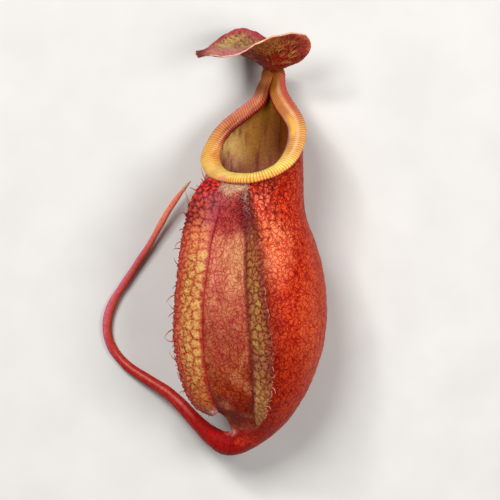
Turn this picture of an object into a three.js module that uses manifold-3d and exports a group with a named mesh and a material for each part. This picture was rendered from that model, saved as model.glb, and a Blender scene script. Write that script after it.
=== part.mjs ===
// One hanging pitcher of a tropical pitcher plant, picked with its tendril and laid on its back.
//
// Millimetres, +Z up. The origin is the middle of the small flat spot that the cup rests on. +Y runs
// from the foot of the cup to its lid, and +X is on the right of someone who looks down on its front.
//
// The pitcher is a leaf whose tip grew into a trap. Its organs are separate pieces here: the hollow cup,
// the ribbed lip round its mouth, the lid, the spur behind the lid, two fringed wings and the tendril.
import * as THREE from "three";
import { mergeVertices } from "three/addons/utils/BufferGeometryUtils.js";
import Module from "manifold-3d";

const wasm = await Module();
wasm.setup();

// Driving dimensions, in millimetres.
const PITCHER_LENGTH = 111.5; // from the bend under the cup to the top of the lid
const CUP_WALL = 1.3;
const BLADE = 0.9; // thickness of the lid and the wings
const GAP = 0.3; // between two organs that touch
const PRESSED_FLAT = 1.2; // how far the soft back of the cup is pressed in where it rests
const LIP_HALF_THICKNESS = 1.15;
const LIP_RIBS = 80; // coarser than the real 200, which are 0.4 mm apart
const RIB_HEIGHT = 0.22;
const NECK_KEEL = 0.8; // how far the back of the neck stands behind the wall's own line
const RIM_LEAN = 25; // degrees that the wall leans in where it meets the lip
const PANEL_HOLLOW = 0.8; // how far the front sinks between the wings
const LID_BULGE = 1.1; // how far each half of the lid bellies out
const LID_SPREAD = 0.95; // the middle of the blade ends short of its drawn edge, which is a rounded one
const FRINGE_RADIUS = 0.34;
const FRINGE_LENGTH = 1.9;
const FRINGE_HAIRS = 26; // on each wing
const SPUR_RADIUS = 0.75;
const FRINGE_ROOT = 0.8; // how deep a hair of the fringe sits in its wing
const WING_ROOT = 0.8; // how deep a wing reaches into the cup before it is cut clear of it
const WING_ARCH = 0.6; // how far a wing arches across its width
const TIP_DIAMETER = 0.8; // of the tendril
const FLOOR_CLEARANCE = 0.02; // under the tendril, where it lies down

// The outlines below are read off a front view in its own units: x to the right, y down, and depth
// from the axis of the cup towards the viewer. The view is PITCHER_LENGTH long in VIEW_LENGTH units.
const VIEW_LENGTH = 429;
const UNIT = PITCHER_LENGTH / VIEW_LENGTH;
const REST_X = 255;
const REST_Y = 311;
const BELLY_HALF_DEPTH = 71;
const AXIS_HEIGHT = BELLY_HALF_DEPTH * UNIT - PRESSED_FLAT;

// Cup from the foot to the waist: left edge x, y, right edge x, y, half depth, depth of the middle.
const CUP_SECTIONS = [
  [231.5, 432.5, 228, 456, 12, -16],
  [230.5, 429, 249, 449.5, 15, -13],
  [229, 425, 268, 439.5, 21, -10],
  [227, 420.5, 281, 428.5, 28, -7],
  [222, 415, 290, 418.5, 34, -4],
  [213.5, 409.5, 296.5, 409.5, 40, -2],
  [203, 397, 304.5, 397, 49, 0],
  [192, 380, 312.5, 380, 58, 0],
  [185, 360, 320, 360, 65, 0],
  [182, 340, 325, 340, 69, 0],
  [180.5, 320, 327, 320, 71, 0],
  [181, 300, 327, 300, 71, 0],
  [182.5, 280, 325, 280, 69, 0],
  [186, 260, 321, 260, 66, 0],
  [191, 240, 315, 240, 61, 0],
  [196, 224, 308.5, 224, 57, 0],
  [199.5, 210, 305, 210, 54, 0],
  [201, 196, 304, 196, 52.5, 0],
];

// Middle of the lip, round the mouth: x, y, depth, the turn in degrees round the waist that this point
// stands over, and half the lip's width. The turn is 0 on the right and 90 at the front. The rim is
// low in front, and at the back it climbs as two pillars to the foot of the lid.
const RIM = [
  [295.5, 124, 5.7, 8, 10],
  [297, 134, 16, 20, 10],
  [295.5, 145, 26, 31, 9.8],
  [291, 155.5, 35, 43, 9.5],
  [284, 164.5, 43, 54, 9],
  [275, 171, 48, 65, 9],
  [265, 175.3, 50.5, 77, 9],
  [252, 178.5, 49.6, 91, 9],
  [240, 178.8, 42.6, 107, 9],
  [230, 177.8, 32, 126, 9],
  [221, 175.3, 18, 148, 9.3],
  [213.5, 169, -1, 176, 9.8],
  [210, 158, -13.7, 196, 10],
  [213, 147, -23, 209, 10],
  [219, 136, -29.5, 221, 10],
  [227.5, 126, -33.6, 233, 9.8],
  [238.5, 117, -35.7, 246, 9.2],
  [250, 108, -36.4, 259, 8.6],
  [258.5, 99.5, -36.5, 270, 7.8],
  [262.3, 89, -36.5, 279, 6.6],
  [265.2, 78.5, -36, 287, 5.1],
  [272.5, 71.5, -34, 296, 3.6],
  [279.7, 78.5, -31.5, 305, 5.7],
  [279.2, 88, -29, 313, 8],
  [280.8, 96, -25.5, 322, 9],
  [284.8, 105, -18, 333, 9.6],
  [290.7, 114.5, -6, 350, 10],
];

// Lid from its foot to its tip: x, y, depth of the midrib, of the near edge and of the far edge.
const LID = [
  [270, 68.5, -33, 277.5, 68, -29, 263, 67.5, -36],
  [264.5, 66, -31, 290.5, 64.5, -16, 269, 63.5, -47],
  [260, 63.3, -28.5, 301.5, 59.8, -3, 277, 58, -55],
  [255, 59.8, -25, 309.5, 52.5, 5, 283, 50, -60],
  [249, 57, -21, 312, 43.5, 10, 283, 43.5, -62],
  [243, 54.7, -17, 306, 34.3, 15, 276, 39, -62],
  [236.5, 51.6, -12, 291, 33, 19, 266, 36, -60],
  [230.5, 49.3, -7, 274, 36.5, 23, 255, 29.8, -55],
  [225, 48.3, -2, 258, 43.3, 26, 243, 26.6, -47],
  [219, 48.5, 3, 246, 50.8, 28, 231.5, 29.3, -38],
  [212.5, 49.7, 8, 235, 55, 29, 221, 35.5, -27],
  [206, 51.3, 13, 224, 56.3, 28, 212.5, 42.3, -13],
  [201, 52.7, 17, 211, 55, 25, 204.5, 48.5, 4],
  [196.5, 54, 20, 198, 56, 20.5, 196, 51.8, 18],
];

// Wings from top to bottom: x, y of the root on the cup, x, y of the free edge, and how far the free
// edge stands nearer to the viewer than the root.
const LEFT_WING = [
  [217, 186, 207, 182, -3],
  [217.5, 196, 198, 190, -7],
  [217, 208, 191, 201, -10],
  [213.5, 222, 187, 214, -11],
  [209, 239, 183, 234, -12],
  [206.5, 260, 179.5, 256, -13],
  [203.6, 279, 177, 279, -13],
  [201, 302, 175, 302, -13],
  [200, 328, 173.5, 330, -13],
  [200.8, 349, 175, 349, -12],
  [202.8, 369, 178.5, 369, -11],
  [206.5, 386, 183.5, 387, -10],
  [210.5, 399, 191.5, 402.5, -8],
  [214, 406, 202, 412, -6],
  [216.5, 412, 212.5, 416, -3],
];
const RIGHT_WING = [
  [246.5, 193, 248, 191, 2],
  [246, 206, 251, 205, 9],
  [246.5, 220, 254, 219, 14],
  [246.8, 240, 257.5, 238, 18],
  [246.8, 262, 261, 260, 22],
  [247, 285, 264, 283, 24],
  [248, 305, 266.5, 304, 25],
  [248.8, 325, 269, 325, 25],
  [251, 346, 272, 346, 24],
  [253, 369, 272.5, 369, 22],
  [254, 386, 272, 386, 18],
  [254.8, 403, 268.5, 403, 13],
  [256, 417, 264, 418, 8],
  [257.5, 425, 258.5, 426, 2],
];

// Tendril from the foot of the cup to its tip: x, y, depth and diameter of the stalk.
const TENDRIL = [
  [228, 444.3, -16.5, 23.7],
  [218, 441, -22, 20.8],
  [206.7, 433, -29, 17.6],
  [195, 421.6, -36, 15],
  [181, 406, -44, 13.4],
  [166.5, 393, -50, 12.3],
  [147, 380.5, -55.5, 10.9],
  [128, 368, -59.5, 9.8],
  [116.5, 356.5, -61.7, 9.2],
  [109.3, 345, -62.4, 9],
  [106, 331, -62.5, 9.1],
  [107.5, 315, -62.3, 9.4],
  [114, 299, -62, 8.7],
  [124, 283, -61, 7.9],
  [137.5, 262, -59, 7],
  [149, 244.6, -57, 6.5],
  [159, 226, -54, 6.3],
  [168.2, 210, -51, 6],
  [178, 196, -48, 4.8],
  [184.5, 187.5, -46, 3.4],
  [190.5, 180.5, -44.5, 1],
];

// Spur behind the neck: x, y, depth along it.
const SPUR = [
  [273, 78, -36],
  [274, 83, -47],
  [276, 90, -54],
  [280, 98, -58],
];

const FRONT = new THREE.Vector3(-0.375, 0, 0.927); // where the front of the pitcher faces
const UP = new THREE.Vector3(0, 1, 0); // from the foot to the lid

// How finely the curved skins are divided.
const CUP_AROUND = 50;
const LOWER_RINGS = 26;
const UPPER_RINGS = 11;
const INNER_FIRST_RING = 6; // the foot of the cup is solid up to here
const LIP_AROUND = 10;
const LID_STEPS = [28, 6]; // along it, and across each half
const WING_STEPS = [32, 4]; // along it, and across it
const STEP = 1e-3; // for the direction of a curve

// --- Curves -------------------------------------------------------------------------------------

// The rows of a list joined by a smooth curve: each column's value at t, from 0 to 1 along the list.
function rowAt(rows, t, closed = false) {
  const count = rows.length;
  const spans = closed ? count : count - 1;
  const first = Math.min(Math.floor(t * spans), spans - 1);
  const f = t * spans - first;
  const row = (k) =>
    closed ? rows[(k + count) % count] : rows[Math.min(Math.max(k, 0), count - 1)];
  const [before, from, to, after] = [-1, 0, 1, 2].map((k) => row(first + k));
  return from.map((v, c) => {
    const slope = to[c] - before[c];
    const bend = 2 * before[c] - 5 * v + 4 * to[c] - after[c];
    const twist = 3 * (v - to[c]) + after[c] - before[c];
    return v + 0.5 * f * (slope + f * (bend + f * twist));
  });
}

// Places round a closed curve of rows that are evenly spaced along its length.
function evenPlaces(rows, count) {
  const pieces = 1500;
  const points = Array.from({ length: pieces + 1 }, (_, i) => {
    return place(...rowAt(rows, (i / pieces) % 1, true).slice(0, 3));
  });
  const lengths = points.map((p, i) => (i ? p.distanceTo(points[i - 1]) : 0));
  const total = lengths.reduce((sum, length) => sum + length);
  const places = [];
  let run = 0;
  lengths.forEach((length, i) => {
    run += length;
    if (run > (places.length * total) / count && places.length < count) places.push(i / pieces);
  });
  return places;
}

// A point of the view, in the part's own frame.
function place(x, y, depth) {
  return new THREE.Vector3((x - REST_X) * UNIT, (REST_Y - y) * UNIT, AXIS_HEIGHT + depth * UNIT);
}

function smooth(from, to, value) {
  return THREE.MathUtils.smoothstep(value, from, to);
}

// --- Solids -------------------------------------------------------------------------------------

function solidOf(geometry) {
  const bare = geometry.index ? geometry.toNonIndexed() : geometry.clone();
  bare.deleteAttribute("normal");
  bare.deleteAttribute("uv");
  const merged = mergeVertices(bare, 1e-4);
  const mesh = new wasm.Mesh({
    numProp: 3,
    vertProperties: merged.attributes.position.array,
    triVerts: new Uint32Array(merged.index.array),
  });
  return new wasm.Manifold(mesh);
}

function geometryOf(solid) {
  const mesh = solid.getMesh();
  const geometry = new THREE.BufferGeometry();
  geometry.setAttribute("position", new THREE.BufferAttribute(mesh.vertProperties, 3));
  geometry.setIndex(new THREE.BufferAttribute(mesh.triVerts, 1));
  geometry.computeVertexNormals();
  return geometry;
}

// The largest body of a solid, so that a cut leaves no scraps behind.
function mainBody(solid) {
  return solid.decompose().reduce((a, b) => (b.volume() > a.volume() ? b : a));
}

function middleOf(points) {
  return points.reduce((sum, p) => sum.add(p), new THREE.Vector3()).divideScalar(points.length);
}

// A closed skin over a list of rings of points. The first and last ring are capped at their middle,
// or joined to each other where the rings run round in a loop.
function skin(rings, looped = false) {
  const around = rings[0].length;
  const points = rings.flat();
  const faces = [];
  const at = (i, j) => (i % rings.length) * around + (j % around);
  for (let i = 0; i < rings.length - (looped ? 0 : 1); i++)
    for (let j = 0; j < around; j++) {
      faces.push(at(i, j), at(i, j + 1), at(i + 1, j + 1));
      faces.push(at(i, j), at(i + 1, j + 1), at(i + 1, j));
    }
  if (!looped)
    for (const [i, flip] of [
      [0, false],
      [rings.length - 1, true],
    ]) {
      points.push(middleOf(rings[i]));
      for (let j = 0; j < around; j++) {
        const edge = flip ? [at(i, j), at(i, j + 1)] : [at(i, j + 1), at(i, j)];
        faces.push(points.length - 1, ...edge);
      }
    }
  return facingOut(points, faces);
}

// A mesh of these points and faces, turned inside out if its faces point inwards.
function facingOut(points, faces) {
  const corner = (k) => points[faces[k]];
  let volume = 0;
  for (let k = 0; k < faces.length; k += 3)
    volume += corner(k).dot(corner(k + 1).clone().cross(corner(k + 2)));
  if (volume < 0)
    for (let k = 0; k < faces.length; k += 3)
      [faces[k], faces[k + 1]] = [faces[k + 1], faces[k]];
  const geometry = new THREE.BufferGeometry().setFromPoints(points);
  geometry.setIndex(faces);
  return geometry;
}

// --- Cup ----------------------------------------------------------------------------------------

const RIM_ROWS = RIM.map(([x, y, depth, turn, half]) => {
  const angle = THREE.MathUtils.degToRad(turn);
  return [x, y, depth, Math.cos(angle), Math.sin(angle), half];
});

function ringPoint(section, cos, sin) {
  const [x1, y1, x2, y2, halfDepth, middle] = section;
  return place(
    (x1 + x2) / 2 + ((x2 - x1) / 2) * cos,
    (y1 + y2) / 2 + ((y2 - y1) / 2) * cos,
    middle + halfDepth * sin,
  );
}

// x of a wing's root at a height y of the view.
function rootAt(wing, y) {
  const next = wing.findIndex((row) => row[1] > y);
  if (next < 1) return wing[next < 0 ? wing.length - 1 : 0][0];
  const [a, b] = [wing[next - 1], wing[next]];
  return THREE.MathUtils.mapLinear(y, a[1], b[1], a[0], b[0]);
}

// The front sinks a little between the roots of the wings.
function panelHollow(point) {
  const x = point.x / UNIT + REST_X;
  const y = REST_Y - point.y / UNIT;
  const left = rootAt(LEFT_WING, y);
  const across = (x - left) / (rootAt(RIGHT_WING, y) - left);
  if (point.z < AXIS_HEIGHT || across <= 0 || across >= 1) return 0;
  const fade = smooth(182, 215, y) * (1 - smooth(385, 420, y));
  return -PANEL_HOLLOW * Math.sin(Math.PI * across) * fade;
}

// The line of the wall at s round the mouth and t up the cup: the waist is at t = 1, the rim at t = 2.
function wallLine(s, t) {
  const [x, y, depth, cosine, sine] = rowAt(RIM_ROWS, s, true);
  const size = Math.hypot(cosine, sine);
  const [cos, sin] = [cosine / size, sine / size];
  if (t <= 1) {
    const point = ringPoint(rowAt(CUP_SECTIONS, t), cos, sin);
    point.z += panelHollow(point);
    return point;
  }
  const waist = ringPoint(CUP_SECTIONS.at(-1), cos, sin);
  waist.z += panelHollow(waist);
  const rim = place(x, y, depth);
  const f = t - 1;
  const pull = 0.9 * waist.distanceTo(rim) * f * (1 - f);
  const lean = THREE.MathUtils.degToRad(RIM_LEAN);
  const point = waist.lerp(rim, f * f * (3 - 2 * f));
  point.addScaledVector(UP, pull * (1 - f - f * Math.cos(lean)));
  return point.addScaledVector(new THREE.Vector3(cos, 0, sin), pull * f * Math.sin(lean));
}

function wallNormal(s, t) {
  const [low, high] = [Math.max(t - STEP, 0), Math.min(t + STEP, 2)];
  const round = wallLine((s + STEP) % 1, t).sub(wallLine((s + 1 - STEP) % 1, t));
  const up = wallLine(s, high).sub(wallLine(s, low));
  return up.cross(round).normalize();
}

// A ring of the wall, moved out along its normal, and pressed flat where it rests at this height.
function wallRing(t, out, floor) {
  return Array.from({ length: CUP_AROUND }, (_, j) => {
    const s = j / CUP_AROUND;
    const normal = wallNormal(s, t);
    const behind = Math.max(0, -normal.dot(FRONT));
    const keel = out < 0 ? 0 : NECK_KEEL * smooth(1.3, 1.8, t) * behind;
    const point = wallLine(s, t).addScaledVector(normal, out + keel);
    point.z = Math.max(point.z, floor);
    return point;
  });
}

const RING_HEIGHTS = [
  ...Array.from({ length: LOWER_RINGS }, (_, i) => i / LOWER_RINGS),
  ...Array.from({ length: UPPER_RINGS + 1 }, (_, i) => 1 + i / UPPER_RINGS),
];

// The cup's outer form as a full solid, grown by a margin.
function cupForm(margin) {
  const rings = RING_HEIGHTS.map((t) => wallRing(t, margin, -margin));
  if (margin > 0) {
    const footwards = middleOf(rings[0]).sub(middleOf(rings[1])).normalize();
    rings.unshift(rings[0].map((p) => p.clone().addScaledVector(footwards, margin)));
  }
  return solidOf(skin(rings));
}

function cupShell() {
  const outside = RING_HEIGHTS.map((t) => wallRing(t, 0, 0));
  const inside = RING_HEIGHTS.slice(INNER_FIRST_RING).map((t) =>
    wallRing(t, -CUP_WALL, CUP_WALL),
  );
  return solidOf(skin([...outside, ...inside.reverse()]));
}

// --- Lip ----------------------------------------------------------------------------------------

// Which way the lip faces at a height y of the view: nearly up the pitcher on the low front rim,
// leaning forwards more and more on the way to the neck.
function lipFacing(y) {
  const lean = THREE.MathUtils.degToRad(5 + 61 * smooth(70, 180, y));
  return FRONT.clone().multiplyScalar(Math.cos(lean)).addScaledVector(UP, Math.sin(lean));
}

function lipRing(s, swell) {
  const at = (k) => rowAt(RIM_ROWS, (k + 1) % 1, true);
  const [x, y, depth, , , half] = at(s);
  const middle = place(x, y, depth);
  const along = place(...at(s + STEP).slice(0, 3)).sub(place(...at(s - STEP).slice(0, 3)));
  along.normalize();
  const facing = lipFacing(y);
  facing.addScaledVector(along, -facing.dot(along)).normalize();
  const outward = facing.clone().cross(along);
  return Array.from({ length: LIP_AROUND }, (_, k) => {
    const angle = (2 * Math.PI * (k + 0.5)) / LIP_AROUND;
    return middle
      .clone()
      .addScaledVector(outward, (half * UNIT + swell) * Math.cos(angle))
      .addScaledVector(facing, (LIP_HALF_THICKNESS + swell) * Math.sin(angle));
  });
}

// The lip with its ribs: every second ring lies in a furrow.
function ribbedLip() {
  const places = evenPlaces(RIM_ROWS, 2 * LIP_RIBS);
  const rings = places.map((s, i) => lipRing(s, i % 2 ? -RIB_HEIGHT : 0));
  return solidOf(skin(rings, true));
}

// The space that the other organs keep clear of: the lip without furrows, grown by the gap.
function roundLip() {
  const rings = evenPlaces(RIM_ROWS, LIP_RIBS).map((s) => lipRing(s, GAP));
  return solidOf(skin(rings, true));
}

// --- Blades -------------------------------------------------------------------------------------

// A thin closed blade over a grid of points, half its thickness to either side of them.
function blade(grid, thickness) {
  const [rows, columns] = [grid.length, grid[0].length];
  const within = (k, count) => Math.min(Math.max(k, 0), count - 1);
  const at = (i, j) => grid[within(i, rows)][within(j, columns)];
  const side = (sign) =>
    grid.map((row, i) =>
      row.map((p, j) => {
        const along = at(i + 1, j).clone().sub(at(i - 1, j));
        const across = at(i, j + 1).clone().sub(at(i, j - 1));
        const normal = along.cross(across).normalize();
        return p.clone().addScaledVector(normal, (sign * thickness) / 2);
      }),
    );
  const [top, bottom] = [side(1), side(-1)];
  return solidOf(skin(top.map((row, i) => [...row, ...bottom[i].toReversed()])));
}

function lidBlade() {
  const [lengthwise, halfwise] = LID_STEPS;
  const grid = Array.from({ length: lengthwise + 1 }, (_, i) => {
    const row = rowAt(LID, i / lengthwise);
    const [midrib, near, far] = [0, 3, 6].map((c) => place(...row.slice(c, c + 3)));
    return Array.from({ length: 2 * halfwise + 1 }, (_, j) => {
      const v = j / halfwise - 1;
      const edge = v < 0 ? far : near;
      const across = Math.abs(v);
      const taper = Math.min(1, 4 * (1 - i / lengthwise));
      const belly = 4 * across * (1 - across) * LID_BULGE * taper;
      const point = midrib.clone().lerp(edge, LID_SPREAD * across);
      return point.addScaledVector(new THREE.Vector3(0, -0.7, 0.7 * Math.sign(v)), belly);
    });
  });
  return blade(grid, BLADE);
}

// The thick foot that joins the lid to the top of the neck.
function lidFoot() {
  const foot = new THREE.SphereGeometry(1, 16, 10);
  const size = new THREE.Vector3(11, 5.5, 7.5).multiplyScalar(UNIT);
  const middle = place(272.8, 66, -33);
  foot.scale(size.x, size.y, size.z).rotateY(-0.25).translate(middle.x, middle.y, middle.z);
  return solidOf(foot);
}

// Where the front of the cup is, under a point of the view.
function onFront(form, x, y) {
  const above = place(x, y, 200);
  const [hit] = new THREE.Raycaster(above, new THREE.Vector3(0, 0, -1)).intersectObject(form);
  return hit ? hit.point : place(x, y, 0);
}

// The pieces' random draws come from a seeded list, so that each build is the same.
function seeded(seed) {
  let state = seed;
  return () => {
    state = (state * 16807) % 2147483647;
    return state / 2147483647;
  };
}

function wing(rows, form, random) {
  const [lengthwise, crosswise] = WING_STEPS;
  const line = Array.from({ length: lengthwise + 1 }, (_, i) => {
    const [rootX, rootY, edgeX, edgeY, lift] = rowAt(rows, i / lengthwise);
    const root = onFront(form, rootX, rootY);
    const edge = place(edgeX, edgeY, 0);
    edge.z = root.z + lift * UNIT;
    root.addScaledVector(edge.clone().sub(root).normalize(), -WING_ROOT);
    return { root, edge };
  });
  const grid = line.map(({ root, edge }) =>
    Array.from({ length: crosswise + 1 }, (_, j) => {
      const v = j / crosswise;
      const point = root.clone().lerp(edge, v);
      point.z += WING_ARCH * Math.sin(Math.PI * v);
      return point;
    }),
  );
  return fringe(line, random).reduce((sum, hair) => sum.add(hair), blade(grid, BLADE));
}

// Hairs along the free edge of a wing, with their roots well inside it.
function fringe(line, random) {
  return Array.from({ length: FRINGE_HAIRS }, (_, k) => {
    const along = ((k + 0.3 + 0.4 * random()) / FRINGE_HAIRS) * (line.length - 3) + 1;
    const { root, edge } = line[Math.round(along)];
    const out = edge.clone().sub(root).normalize();
    out.y += 0.9 * (random() - 0.4);
    out.z += 0.5 * (random() - 0.5);
    out.normalize();
    const length = FRINGE_LENGTH * (0.7 + 0.6 * random());
    const hair = new THREE.ConeGeometry(FRINGE_RADIUS, length + FRINGE_ROOT, 4);
    hair.translate(0, (length - FRINGE_ROOT) / 2, 0);
    hair.applyQuaternion(new THREE.Quaternion().setFromUnitVectors(UP, out));
    hair.translate(edge.x, edge.y, edge.z);
    return solidOf(hair);
  });
}

// --- Stalks -------------------------------------------------------------------------------------

// A round stalk along rows of x, y, depth and diameter in view units.
function stalk(rows, steps, sides, leastDiameter) {
  const rings = Array.from({ length: steps + 1 }, (_, i) => {
    const t = i / steps;
    const [x, y, depth, diameter] = rowAt(rows, t);
    const middle = place(x, y, depth);
    const ahead = place(...rowAt(rows, Math.min(t + STEP, 1)).slice(0, 3));
    const behind = place(...rowAt(rows, Math.max(t - STEP, 0)).slice(0, 3));
    const along = ahead.sub(behind).normalize();
    const beside = along.clone().cross(new THREE.Vector3(0, 0, 1)).normalize();
    const above = beside.clone().cross(along);
    const radius = Math.max(diameter * UNIT, leastDiameter) / 2;
    return Array.from({ length: sides }, (_, k) => {
      const angle = (2 * Math.PI * k) / sides;
      const point = middle.clone().addScaledVector(beside, radius * Math.cos(angle));
      point.addScaledVector(above, radius * Math.sin(angle));
      point.z = Math.max(point.z, FLOOR_CLEARANCE);
      return point;
    });
  });
  return solidOf(skin(rings));
}

function spurStalk() {
  const rows = SPUR.map((row, i) => [...row, (2 * SPUR_RADIUS * (1 - (0.75 * i) / 3)) / UNIT]);
  return stalk(rows, 10, 8, 0.3);
}

// --- Organs -------------------------------------------------------------------------------------

function organ(name, solid, colour, roughness) {
  const material = new THREE.MeshStandardMaterial({ color: colour, roughness, metalness: 0 });
  const mesh = new THREE.Mesh(geometryOf(mainBody(solid)), material);
  mesh.name = name;
  return mesh;
}

const lipSpace = roundLip();
const cupSpace = cupForm(GAP);
const form = new THREE.Mesh(geometryOf(cupForm(0)));
const random = seeded(20731);

const shell = cupShell().subtract(lipSpace);
const clearOfCupAndLip = (solid) => solid.subtract(cupSpace).subtract(lipSpace);
const lid = clearOfCupAndLip(lidBlade().add(lidFoot()));
const tendril = clearOfCupAndLip(stalk(TENDRIL, 56, 10, TIP_DIAMETER));

const pitcher = new THREE.Group();
pitcher.add(
  organ("cup", shell, 0xb03a20, 0.6),
  organ("lip", ribbedLip(), 0xe0a64a, 0.35),
  organ("lid", lid, 0x8f3a2c, 0.5),
  organ("spur", clearOfCupAndLip(spurStalk()), 0x9a4a2c, 0.6),
  organ("wing_left", clearOfCupAndLip(wing(LEFT_WING, form, random)), 0xc98a48, 0.6),
  organ("wing_right", clearOfCupAndLip(wing(RIGHT_WING, form, random)), 0x9c6a3a, 0.6),
  organ("tendril", tendril, 0x9c2a24, 0.55),
);

export default pitcher;
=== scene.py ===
# %% [markdown]
# # A hanging pitcher, picked and laid on its back
#
# A tropical pitcher plant turns the tip of a leaf into a hollow trap. This lesson dresses one such
# pitcher, cut off with its tendril: a cup with a netted skin, a ribbed lip, a lid, a spur, two
# fringed wings and the stalk. A living skin has no straight edge to measure from, so its shape is
# drawn as a few curves and its colour is painted in zones, as a botanical painter would.

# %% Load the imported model
import math

import bpy
import numpy as np
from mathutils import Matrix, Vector, kdtree
from mathutils.bvhtree import BVHTree


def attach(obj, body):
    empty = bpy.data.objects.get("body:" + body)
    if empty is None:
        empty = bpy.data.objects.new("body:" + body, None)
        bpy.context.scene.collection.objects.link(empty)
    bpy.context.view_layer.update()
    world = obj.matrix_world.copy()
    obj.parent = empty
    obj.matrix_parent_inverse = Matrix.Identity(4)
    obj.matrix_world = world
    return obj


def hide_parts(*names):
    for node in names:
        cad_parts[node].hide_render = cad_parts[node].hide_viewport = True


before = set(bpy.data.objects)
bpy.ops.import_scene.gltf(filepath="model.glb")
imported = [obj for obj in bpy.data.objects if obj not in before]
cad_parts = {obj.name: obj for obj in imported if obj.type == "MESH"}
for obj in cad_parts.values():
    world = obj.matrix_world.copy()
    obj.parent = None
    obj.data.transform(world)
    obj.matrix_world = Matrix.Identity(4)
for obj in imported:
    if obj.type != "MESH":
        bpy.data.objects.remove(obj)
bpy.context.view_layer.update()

# %% [markdown]
# ## The drawing that everything is set out from
#
# The front view is drawn in its own units, x to the right and y down, with depth towards the
# viewer. One function turns a point of that drawing into metres. The part lies on its back, so the
# viewer looks straight down on it and depth is height above the floor.

# %% Units of the front view
MM = 0.001
UNIT = 111.5 / 429 * MM  # the pitcher is 111.5 mm long, and 429 units in the drawing
REST_X, REST_Y = 255, 311
AXIS_HEIGHT = 71 * UNIT - 1.2 * MM  # the belly is 71 units deep, and pressed flat by 1.2 mm
FRONT = np.array([-0.375, 0, 0.927])  # the way that the mouth faces, seen from above
UP = np.array([0.0, 1.0, 0.0])


def place(x, y, depth):
    """A point of the drawing, in metres in the part's own frame."""
    x, y, depth = np.broadcast_arrays(x, y, depth)
    return np.stack([(x - REST_X) * UNIT, (REST_Y - y) * UNIT, AXIS_HEIGHT + depth * UNIT], -1)


def drawn(points):
    """The x, y and depth in the drawing of points in metres."""
    x, y, z = np.moveaxis(points, -1, 0)
    return x / UNIT + REST_X, REST_Y - y / UNIT, (z - AXIS_HEIGHT) / UNIT


def smooth(start, full, value):
    """0 at the start and 1 where it is full, which may lie on either side of the start."""
    f = np.clip((value - start) / (full - start), 0, 1)
    return f * f * (3 - 2 * f)


def span(start, full, fall, end, value):
    """0 before the start, 1 from full to fall, and 0 again after the end."""
    return smooth(start, full, value) * smooth(end, fall, value)


def row_at(rows, t, closed=False):
    """The rows of a list joined by a smooth curve, at t from 0 to 1 along the list."""
    rows, t = np.asarray(rows, float), np.asarray(t, float)
    count = len(rows)
    spans = count if closed else count - 1
    run = (t % 1 if closed else np.clip(t, 0, 1)) * spans
    first = np.minimum(run.astype(int), spans - 1)
    f = (run - first).reshape(run.shape + (1,) * (rows.ndim - 1))
    ends = [first + k for k in (-1, 0, 1, 2)]
    a, b, c, d = (rows[k % count] if closed else rows[np.clip(k, 0, count - 1)] for k in ends)
    return b + f * ((c - a) + f * ((2 * a - 5 * b + 4 * c - d) + f * (3 * (b - c) + d - a))) / 2


def unit_length(vectors):
    return vectors / np.maximum(np.linalg.norm(vectors, axis=-1, keepdims=True), 1e-12)


def run_along(line):
    """How far each point of a line lies from its first one, along the line."""
    return np.concatenate([[0], np.cumsum(np.linalg.norm(np.diff(line, axis=0), axis=1))])


# %% The curves of the organs
# Cup from foot to waist: left edge x, y, right edge x, y, half depth, depth of the middle.
CUP_SECTIONS = [
    (231.5, 432.5, 229, 456.2, 12, -16), (230.5, 429, 249, 451, 15, -13),
    (229, 425, 268, 439.5, 21, -10), (227, 420.5, 281, 428.5, 28, -7),
    (222, 415, 290, 418.5, 34, -4), (213.5, 409.5, 296.5, 409.5, 40, -2),
    (203, 397, 304.5, 397, 49, 0), (192, 380, 312.5, 380, 58, 0), (185, 360, 320, 360, 65, 0),
    (182, 340, 325, 340, 69, 0), (180.5, 320, 327, 320, 71, 0), (181, 300, 327, 300, 71, 0),
    (182.5, 280, 325, 280, 69, 0), (186, 260, 321, 260, 66, 0), (191, 240, 315, 240, 61, 0),
    (196, 224, 308.5, 224, 57, 0), (199.5, 210, 305, 210, 54, 0), (201, 196, 304, 196, 52.5, 0),
]
# Middle of the lip: x, y, depth, the turn in degrees of the wall below it, half the lip's width.
RIM = [
    (295.5, 124, 5.7, 8, 10), (297, 134, 16, 20, 10), (295.5, 145, 26, 31, 9.8),
    (291, 155.5, 35, 43, 9.5), (284, 164.5, 43, 54, 9), (275, 171, 48, 65, 9),
    (265, 175.3, 50.5, 77, 9), (252, 178.5, 49.6, 91, 9), (240, 178.8, 42.6, 107, 9),
    (230, 177.8, 32, 126, 9), (221, 175.3, 18, 148, 9.3), (213.5, 169, -1, 176, 9.8),
    (210, 158, -13.7, 196, 10), (213, 147, -23, 209, 10), (219, 136, -29.5, 221, 10),
    (227.5, 126, -33.6, 233, 9.8), (238.5, 117, -35.7, 246, 9.2), (250, 108, -36.4, 259, 8.6),
    (258.5, 99.5, -36.5, 270, 7.8), (262.3, 89, -36.5, 279, 6.6), (265.6, 79.5, -36, 285, 5.4),
    (266.6, 71.5, -35.5, 290, 4.6), (273, 67.6, -34, 296, 3.7), (280, 71.3, -32.5, 301, 5),
    (280.3, 79.5, -31.5, 305, 5.9), (279.2, 88, -29, 313, 8),
    (280.8, 96, -25.5, 322, 9), (284.8, 105, -18, 333, 9.6), (290.7, 114.5, -6, 350, 10),
]
RIM_ROWS = [
    (x, y, depth, math.cos(math.radians(turn)), math.sin(math.radians(turn)), half)
    for x, y, depth, turn, half in RIM
]
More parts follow.
